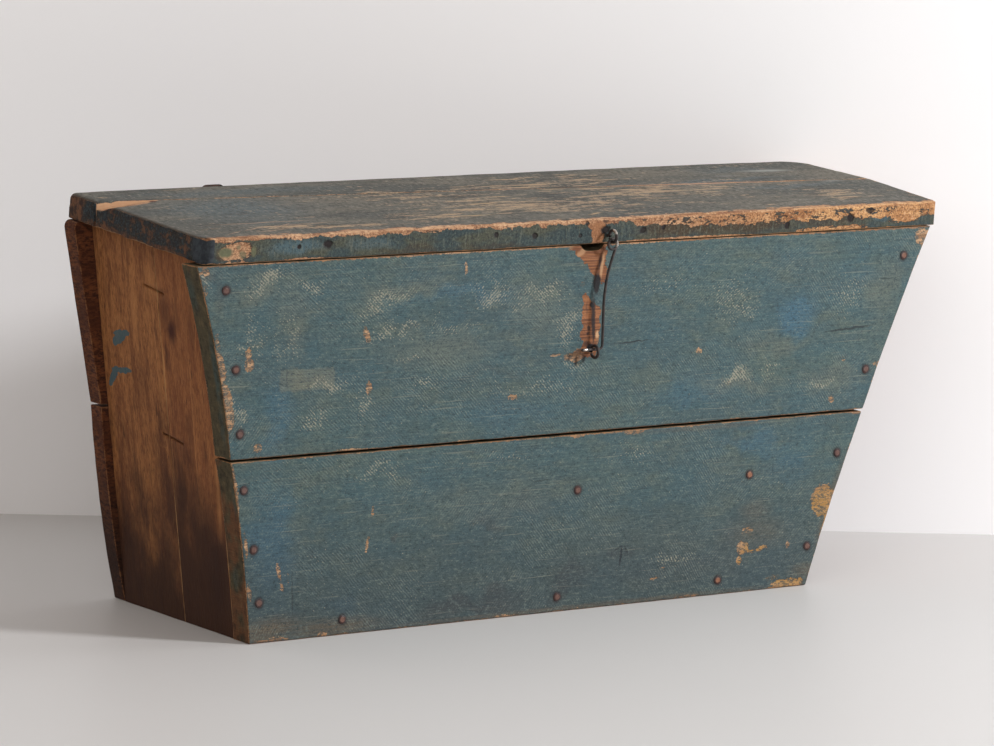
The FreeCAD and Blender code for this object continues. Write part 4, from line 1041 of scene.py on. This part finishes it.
def hinge_sheet(x, height, corner, tabs, upwards):
    """A hinge half: cut from sheet, its tabs rolled round the pin into knuckles."""
    away = 1 if upwards else -1
    half, lap = strap_width / 2, knuckle_r + 0.0004
    edge = [(-half, lap)]
    for k in range(7):
        turn = math.pi / 2 * k / 6
        edge.append((-half + corner * (1 - math.cos(turn)), height - corner * (1 - math.sin(turn))))
    edge += [(-u, w) for u, w in reversed(edge)]
    bm = bmesh.new()
    corners = [bm.verts.new((x + u, back_outer_y + sheet_gap, hinge_z + away * w)) for u, w in edge]
    outline = bmesh.ops.contextual_create(bm, geom=corners)["faces"]
    bmesh.ops.translate(bm, verts=drawn_out(bm, outline)[1], vec=(0, strap_thick - sheet_gap, 0))
    eased(bm, [e for e in bm.edges if abs(e.verts[0].co.y - e.verts[1].co.y) < 1e-6], 0.0003)
    for start in tabs:
        # A tab runs on from the sheet's edge to the pin's height, then nearly all the way round it.
        low, high = x + start + 0.0003, x + start + third - 0.0003
        inner_r, rise = pin_r + sheet_gap, away * (lap + 0.0004)
        section = [(low, knuckle_r), (high, knuckle_r), (high, inner_r), (low, inner_r)]
        corners = [bm.verts.new((u, hinge_y - r, hinge_z + rise)) for u, r in section]
        end, verts = drawn_out(bm, bmesh.ops.contextual_create(bm, geom=corners)["faces"])
        bmesh.ops.translate(bm, verts=verts, vec=(0, 0, -rise))
        bmesh.ops.spin(bm, geom=end, cent=(x, hinge_y, hinge_z), axis=(away, 0, 0), angle=math.radians(298),
                       steps=26, use_merge=False, use_duplicate=False)
    bmesh.ops.recalc_face_normals(bm, faces=bm.faces)
    corrode(bm, 0.00012)
    return bm


for side, x in hinge_xs.items():
    outer_tabs = (-strap_width / 2, -strap_width / 2 + 2 * third)
    strap = hinge_sheet(x, strap_length, strap_width / 2 - 0.0002, outer_tabs, False)
    finish_piece("iron_strap_" + side, strap, (rusty,), "chest", "hinge_strap_" + side)
    leaf = hinge_sheet(x, leaf_rise[side], 0.007, (-strap_width / 2 + third,), True)
    bmesh.ops.transform(leaf, matrix=onto_box, verts=leaf.verts)
    finish_piece("iron_leaf_" + side, leaf, (rusty,), "lid", "hinge_leaf_" + side)
    pin = bmesh.new()
    axle = Matrix.Rotation(math.pi / 2, 4, "Y")
    lengths = ((-0.0142, 0.0284, pin_r), (-0.0155, 0.0013, 0.0027), (0.0142, 0.0013, 0.0027))
    for start, long, radius in lengths:
        at_middle = Matrix.Translation((x + start + long / 2, hinge_y, hinge_z)) @ axle
        made = bmesh.ops.create_cone(pin, cap_ends=True, segments=20, radius1=radius, radius2=radius,
                                     depth=long, matrix=at_middle)
        if radius > pin_r:
            edges = {e for v in made["verts"] for e in v.link_edges}
            eased(pin, [e for e in edges if abs(e.verts[0].co.x - e.verts[1].co.x) < 1e-6], 0.0004)
    bmesh.ops.recalc_face_normals(pin, faces=pin.faces)
    finish_piece("iron_pin_" + side, pin, (rusty,), "chest", "hinge_pin_" + side)

# ---- Iron: the two screw eyes and the hook -----------------------------------------------
# The eyes are bent from wire, turned into the wood by a cut thread. The hook is one length
# of thinner wire: its own ring hangs in the upper eye and its tip drops through the lower one.
eye_wire, eye_ring = 0.0016, 0.0059
hook_wire, hook_ring = 0.0015, 0.0052
eyes = {"upper": (0.0173, -0.1309, 0.3715), "lower": (-0.0002, -0.1309, 0.2585)}


def wire_end(bm, centre, along, radius):
    """The round cut end that a length of wire starts from."""
    turn = Vector(along).to_track_quat("Z", "Y").to_matrix().to_4x4()
    made = bmesh.ops.create_circle(bm, cap_ends=True, segments=10, radius=radius,
                                   matrix=Matrix.Translation(centre) @ turn)
    return [f for v in made["verts"] for f in v.link_faces][:1]


def bend(bm, section, centre, axis, degrees, cuts):
    """Carries the wire's end face round a centre and gives the new end face."""
    made = bmesh.ops.spin(bm, geom=section, cent=centre, axis=axis, angle=math.radians(degrees),
                          steps=cuts, use_merge=False, use_duplicate=False)
    return [g for g in made["geom_last"] if isinstance(g, bmesh.types.BMFace)]


def run_on(bm, section, vector, taper=1, cuts=1):
    """Carries the wire's end face straight on, a little thinner at each cut if it tapers."""
    for _ in range(cuts):
        made, verts = drawn_out(bm, section)
        bmesh.ops.delete(bm, geom=section, context="FACES_ONLY")
        section = made
        bmesh.ops.translate(bm, verts=verts, vec=Vector(vector) / cuts)
        middle = sum((v.co for v in verts), Vector()) / len(verts)
        bmesh.ops.scale(bm, verts=verts, vec=(taper, taper, taper), space=Matrix.Translation(-middle))
    return section


def wire_piece(name, bm, body, node, deep):
    """Rusts the bent wire and makes it a piece."""
    bmesh.ops.recalc_face_normals(bm, faces=bm.faces)
    corrode(bm, deep)
    for face in bm.faces:
        face.smooth = True
    finish_piece(name, bm, (wire_with_rubs_and_glints,), body, node)


wire_with_rubs_and_glints, shader, place = surface("rusty wire, rubbed bright, painted glints", 0.5, 0.5)
scale_patches = cloud(place, 1, (160, 160, 160), 4, 0.65)
wire_iron = washed(colour(25, 22, 23), (scale_patches, 0.4, 0.6, 1, 50, 39, 36))
# The bright spots are partly bare metal rubbed by use and partly painted glints, put on the top of the upper
# eye, the hook's ring and the hook's tip where highlights fall.
rubbed_and_glint_spots = 0
for spot in ((-0.011, -0.1309, 0.2606), (0.0173, -0.1345, 0.3764), (0.0222, -0.1309, 0.3645)):
    away = put("VectorMath", {0: place, 1: spot}, operation="DISTANCE").outputs["Value"]
    rubbed_and_glint_spots = most(rubbed_and_glint_spots, between(away, 0.002, 0.0046, 1, 0))
bright = times(rubbed_and_glint_spots, between(scale_patches, 0.4, 0.52))
coat(shader, tint(bright, wire_iron, colour(188, 180, 172)), times(scale_patches, 0.5),
     Metallic=bright, Roughness=between(bright, 0, 1, 0.62, 0.3))

for side, centre in eyes.items():
    centre = Vector(centre)
    bm = bmesh.new()
    section = wire_end(bm, centre + Vector((0, eye_ring, 0)), (0, 0, 1), eye_wire)
    bend(bm, section, centre, (1, 0, 0), 338, 40)
    section = wire_end(bm, centre + Vector((0, eye_ring - 0.0006, 0)), (0, 1, 0), 0.00185)
    section = run_on(bm, section, (0, 0.018, 0), 1, 6)
    run_on(bm, section, (0, 0.006, 0), 0.8, 3)
    body = "lid" if side == "upper" else "chest"
    wire_piece(side + "_wire_eye", bm, body, side + "_screw_eye", 0.0002)

upper, lower = Vector(eyes["upper"]), Vector(eyes["lower"])
slack = 0.0003
ring_centre = upper + Vector((0, 0, eye_wire + slack + hook_wire - hook_ring - eye_ring))
lean = math.radians(25)
leave = ring_centre + Vector((math.cos(lean), 0, -math.sin(lean))) * hook_ring
way_down = Vector((-math.sin(lean), 0, -math.cos(lean)))
shank_x = lower.x + 0.009
sweep_r = (leave.x - shank_x) / (1 - math.cos(lean))
sweep_end_z = leave.z - sweep_r * math.sin(lean)
tip_z, tip_bend_r, tip_end_x = lower.z + 0.0024, 0.004, lower.x - 0.015
bm = bmesh.new()
section = wire_end(bm, leave, way_down, hook_wire)
section = bend(bm, section, Vector((shank_x + sweep_r, leave.y, sweep_end_z)), (0, -1, 0), 25, 10)
section = run_on(bm, section, (0, 0, tip_z + tip_bend_r - sweep_end_z), 1, 14)
tip_centre = Vector((shank_x - tip_bend_r, leave.y, tip_z + tip_bend_r))
section = bend(bm, section, tip_centre, (0, 1, 0), 90, 7)
section = run_on(bm, section, (tip_end_x - (shank_x - tip_bend_r), 0, 0), 1, 5)
run_on(bm, section, (-0.0014, 0, 0), 0.6, 2)
section = wire_end(bm, leave, way_down, hook_wire)
bend(bm, section, ring_centre, (0, -1, 0), 338, 36)
wire_piece("wire_hook", bm, "hook", "hook", 0.00022)

# ---- Forged nails ------------------------------------------------------------------------
# Square nails made one at a time: a tapered shank and a head beaten flat in a few blows, so
# no two are alike. They hold the boards to the ends and the floor, and the hinges on.
nail_skin, shader, place = surface("nail iron", 0.66, 0.4)
scale_patches = cloud(place, 2, (260, 260, 260), 3, 0.65)
iron = washed(colour(34, 22, 24), (scale_patches, 0.38, 0.62, 1, 60, 38, 34))
crown = between(plus(scale_patches, 0.5, reading(place, "rim")), 0.7, 1, 1, 0)
crown_colour = tint(reading(place, "rust"), colour(78, 62, 64), colour(150, 100, 74))
iron = tint(times(crown, 0.75), iron, crown_colour)
coat(shader, iron, times(scale_patches, 0.7), Roughness=between(scale_patches, 0.35, 0.6, 0.45, 0.8))


def drive_nail(bm, foot, outwards, head_r, thick, square, length):
    """One nail, its foot on the wood's face: a beaten head of a few facets on a square shank."""
    foot, outwards = Vector(foot), Vector(outwards)
    own = noise.noise(foot * 900)
    rim_share, rust = bm.verts.layers.float["rim"], bm.verts.layers.float["rust"]
    facing = outwards.to_track_quat("Z", "Y").to_matrix().to_4x4()
    turn = Matrix.Translation(foot) @ facing @ Matrix.Rotation(own * 9, 4, "Z")
    rim = bmesh.ops.create_circle(bm, cap_ends=True, segments=12, radius=head_r)["verts"]
    rim_high = thick - 0.0009
    bmesh.ops.translate(bm, verts=rim, vec=(0, 0, -rim_high))
    faces = list({f for v in rim for f in v.link_faces})
    verts = list(rim)
    for lift, size in ((rim_high, 1), (0.0005, 0.9), (0.0003, 0.55)):
        made, ring = drawn_out(bm, faces)
        if size < 1:
            bmesh.ops.delete(bm, geom=faces, context="FACES_ONLY")
        faces = made
        bmesh.ops.translate(bm, verts=ring, vec=(0, 0, lift))
        bmesh.ops.scale(bm, verts=ring, vec=(size, size, 1))
        verts += ring
    point_down = Matrix.Rotation(math.pi, 4, "X") @ Matrix.Rotation(math.pi / 4, 4, "Z")
    below = Matrix.Translation((0, 0, -length / 2 - 0.0006)) @ point_down
    shank = bmesh.ops.create_cone(bm, cap_ends=True, segments=4, radius1=square * 0.7, radius2=0.001,
                                  depth=length, matrix=below)
    bright_rust = abs(foot.x - 0.187) < 0.02 and abs(foot.z - 0.07) < 0.06
    for v in verts:
        v[rim_share] = math.hypot(v.co.x, v.co.y) / head_r
        v[rust] = 1 if bright_rust else 0.25 + 0.5 * abs(own)
        beaten = lumps(v.co * 260 + foot * 1000)
        v.co.x *= 1 - 0.26 * beaten
        v.co.y *= 1 - 0.26 * lumps(v.co * 260 - foot * 1000)
        if v.co.z > 0:
            v.co.z -= 0.0004 * beaten
    bmesh.ops.transform(bm, matrix=turn, verts=verts + shank["verts"])


def nail_set(name, node, body, nails, tilt=False, head_r=0.0052, thick=0.0019, square=0.0036,
             length=0.058):
    """All the nails of one piece, driven where the list has them."""
    bm = bmesh.new()
    bm.verts.layers.float.new("rim")
    bm.verts.layers.float.new("rust")
    for foot, outwards in nails:
        drive_nail(bm, foot, outwards, head_r, thick, square, length)
    bmesh.ops.recalc_face_normals(bm, faces=bm.faces)
    if tilt:
        bmesh.ops.transform(bm, matrix=onto_box, verts=bm.verts)
    finish_piece(name, bm, (nail_skin,), body, node)


back_nails = {
    "left": [(-0.41526, 0.34549), (-0.40581, 0.26892), (-0.39951, 0.21788), (-0.39246, 0.16072),
             (-0.38472, 0.098), (-0.37794, 0.04312)],
    "right": [(0.39456, 0.34549), (0.36735, 0.26892), (0.34921, 0.21788), (0.3289, 0.16072),
              (0.30661, 0.098), (0.2871, 0.04312)],
    "bottom": [(-0.2511, 0.015), (-0.03715, 0.015), (0.1768, 0.015)]}
for group_name, spots in front_nails.items():
    nails = [((x, front_y, z), (0, -1, 0)) for x, z in spots]
    nail_set("forged_nails_front_" + group_name, "nails_front_" + group_name, "chest", nails,
             length=0.026 if group_name == "bottom" else 0.057)
for group_name, spots in back_nails.items():
    nails = [((x, back_outer_y, z), (0, 1, 0)) for x, z in spots]
    nail_set("forged_nails_back_" + group_name, "nails_back_" + group_name, "chest", nails)
batten_under = lid_top - lid_thick - batten_thick
nails = []
for x_start in batten_xs.values():
    for share in (0.12, 0.36, 0.72, 0.94):
        y = batten_low_y + share * (batten_high_y - batten_low_y)
        nails.append(((x_start + batten_width / 2, y, batten_under), (0, 0, -1)))
nail_set("forged_nails_lid", "nails_lid", "lid", nails, tilt=True, length=0.035)
tack = {"head_r": 0.0032, "thick": 0.0012, "square": 0.0024, "length": 0.0165}
strap_face = back_outer_y + strap_thick
nails = [((x, strap_face, hinge_z - share * strap_length), (0, 1, 0))
         for x in hinge_xs.values() for share in (0.2, 0.52, 0.86)]
nail_set("tacks_straps", "nails_hinge_straps", "chest", nails, **tack)
nails = [((x + step * 0.007, strap_face, lid_top - lid_thick / 2), (0, 1, 0))
         for x in hinge_xs.values() for step in (-1, 1)]
nail_set("tacks_leaves", "nails_hinge_leaves", "lid", nails, tilt=True, **tack)

# ---- Ground, wall, light and camera ------------------------------------------------------
# The chest stands on a smooth pale floor in front of a pale wall, lit from the front right
# by one big soft lamp, with the room's light filling the rest.
ground_skin, shader, place = surface("pale floor", 0.45)
haze = cloud(place, 0, (1.5, 1.5, 1.5), 3)
feed(shader, {"Base Color": tint(haze, colour(213, 212, 212), colour(208, 207, 206))})
wall_skin, shader, place = surface("plaster wall", 0.9)
haze = cloud(place, 0, (2, 2, 2), 4)
feed(shader, {"Base Color": tint(haze, colour(254, 254, 255), colour(248, 249, 253))})
# Seen from behind, the wall isn't there, so that the chest can be looked at from every side.
tree = wall_skin.node_tree
facing = tree.nodes.new("ShaderNodeNewGeometry").outputs["Backfacing"]
for_camera = tree.nodes.new("ShaderNodeLightPath").outputs["Is Camera Ray"]
nothing = tree.nodes.new("ShaderNodeBsdfTransparent").outputs[0]
cut_away = put("MixShader", {0: times(facing, for_camera), 1: shader.outputs[0], 2: nothing})
tree.links.new(cut_away.outputs[0], tree.nodes["Material Output"].inputs["Surface"])

view_turn = math.radians(-35.15)
wall_turn, wall_away, wall_tall = -31.8, 0.357, 5


def stage_sheet(name, width, length, centre, turn, skin):
    """A flat sheet of the room round the chest."""
    bm = bmesh.new()
    bmesh.ops.create_grid(bm, x_segments=2, y_segments=2, size=0.5)
    bmesh.ops.scale(bm, verts=bm.verts, vec=(width, length, 1))
    bmesh.ops.transform(bm, matrix=Matrix.Translation(centre) @ turn, verts=bm.verts)
    sheet = placed(name, bm, (skin,))


stage_sheet("ground", 14, 14, Vector((0, 0, 0)), Matrix.Rotation(view_turn, 4, "Z"), ground_skin)
turn = Matrix.Rotation(math.radians(wall_turn), 4, "Z")
stage_sheet("wall", 14, wall_tall, turn @ Vector((0, wall_away, wall_tall / 2)),
            turn @ Matrix.Rotation(math.pi / 2, 4, "X"), wall_skin)


def hang_lamp(name, bearing, height, away, size, energy, tone):
    """A square lamp, seen from the chest at a bearing in plan and a height, both in degrees."""
    level, up = math.radians(bearing), math.radians(height)
    to_lamp = Vector((math.cos(level) * math.cos(up), math.sin(level) * math.cos(up), math.sin(up)))
    light = bpy.data.lights.new(name, "AREA")
    light.shape = "SQUARE"
    light.size = size
    light.energy = energy
    light.color = tone
    lamp = bpy.data.objects.new(name, light)
    aimed = to_lamp.to_track_quat("Z", "Y").to_matrix().to_4x4()
    lamp.matrix_world = Matrix.Translation(to_lamp * away) @ aimed
    bpy.context.scene.collection.objects.link(lamp)


hang_lamp("key lamp", -50.3, 27, 4.2, 0.6, 146, (0.985, 0.99, 1))
hang_lamp("fill lamp", -140, 30, 4, 2.4, 30, (1, 0.94, 0.88))

world = bpy.data.worlds.new("room")
bpy.context.scene.world = world
world.use_nodes = True
room_light = world.node_tree.nodes["Background"].inputs
room_light["Color"].default_value = (1, 0.915, 0.84, 1)
room_light["Strength"].default_value = 0.345

camera_data = bpy.data.cameras.new("camera")
camera_data.sensor_fit = "HORIZONTAL"
camera_data.sensor_width = 36
camera_data.lens = 180.85
camera_data.clip_end = 100
camera = bpy.data.objects.new("camera", camera_data)
camera_turn = Matrix.Rotation(view_turn, 4, "Z") @ Matrix.Rotation(math.radians(90 - 8.57), 4, "X")
camera_turn = camera_turn @ Matrix.Rotation(math.radians(1.81), 4, "Z")
camera.matrix_world = Matrix.Translation((-2.85813, -4.02513, 0.96226)) @ camera_turn
bpy.context.scene.collection.objects.link(camera)
bpy.context.scene.camera = camera
bpy.context.scene.view_settings.view_transform = "Standard"
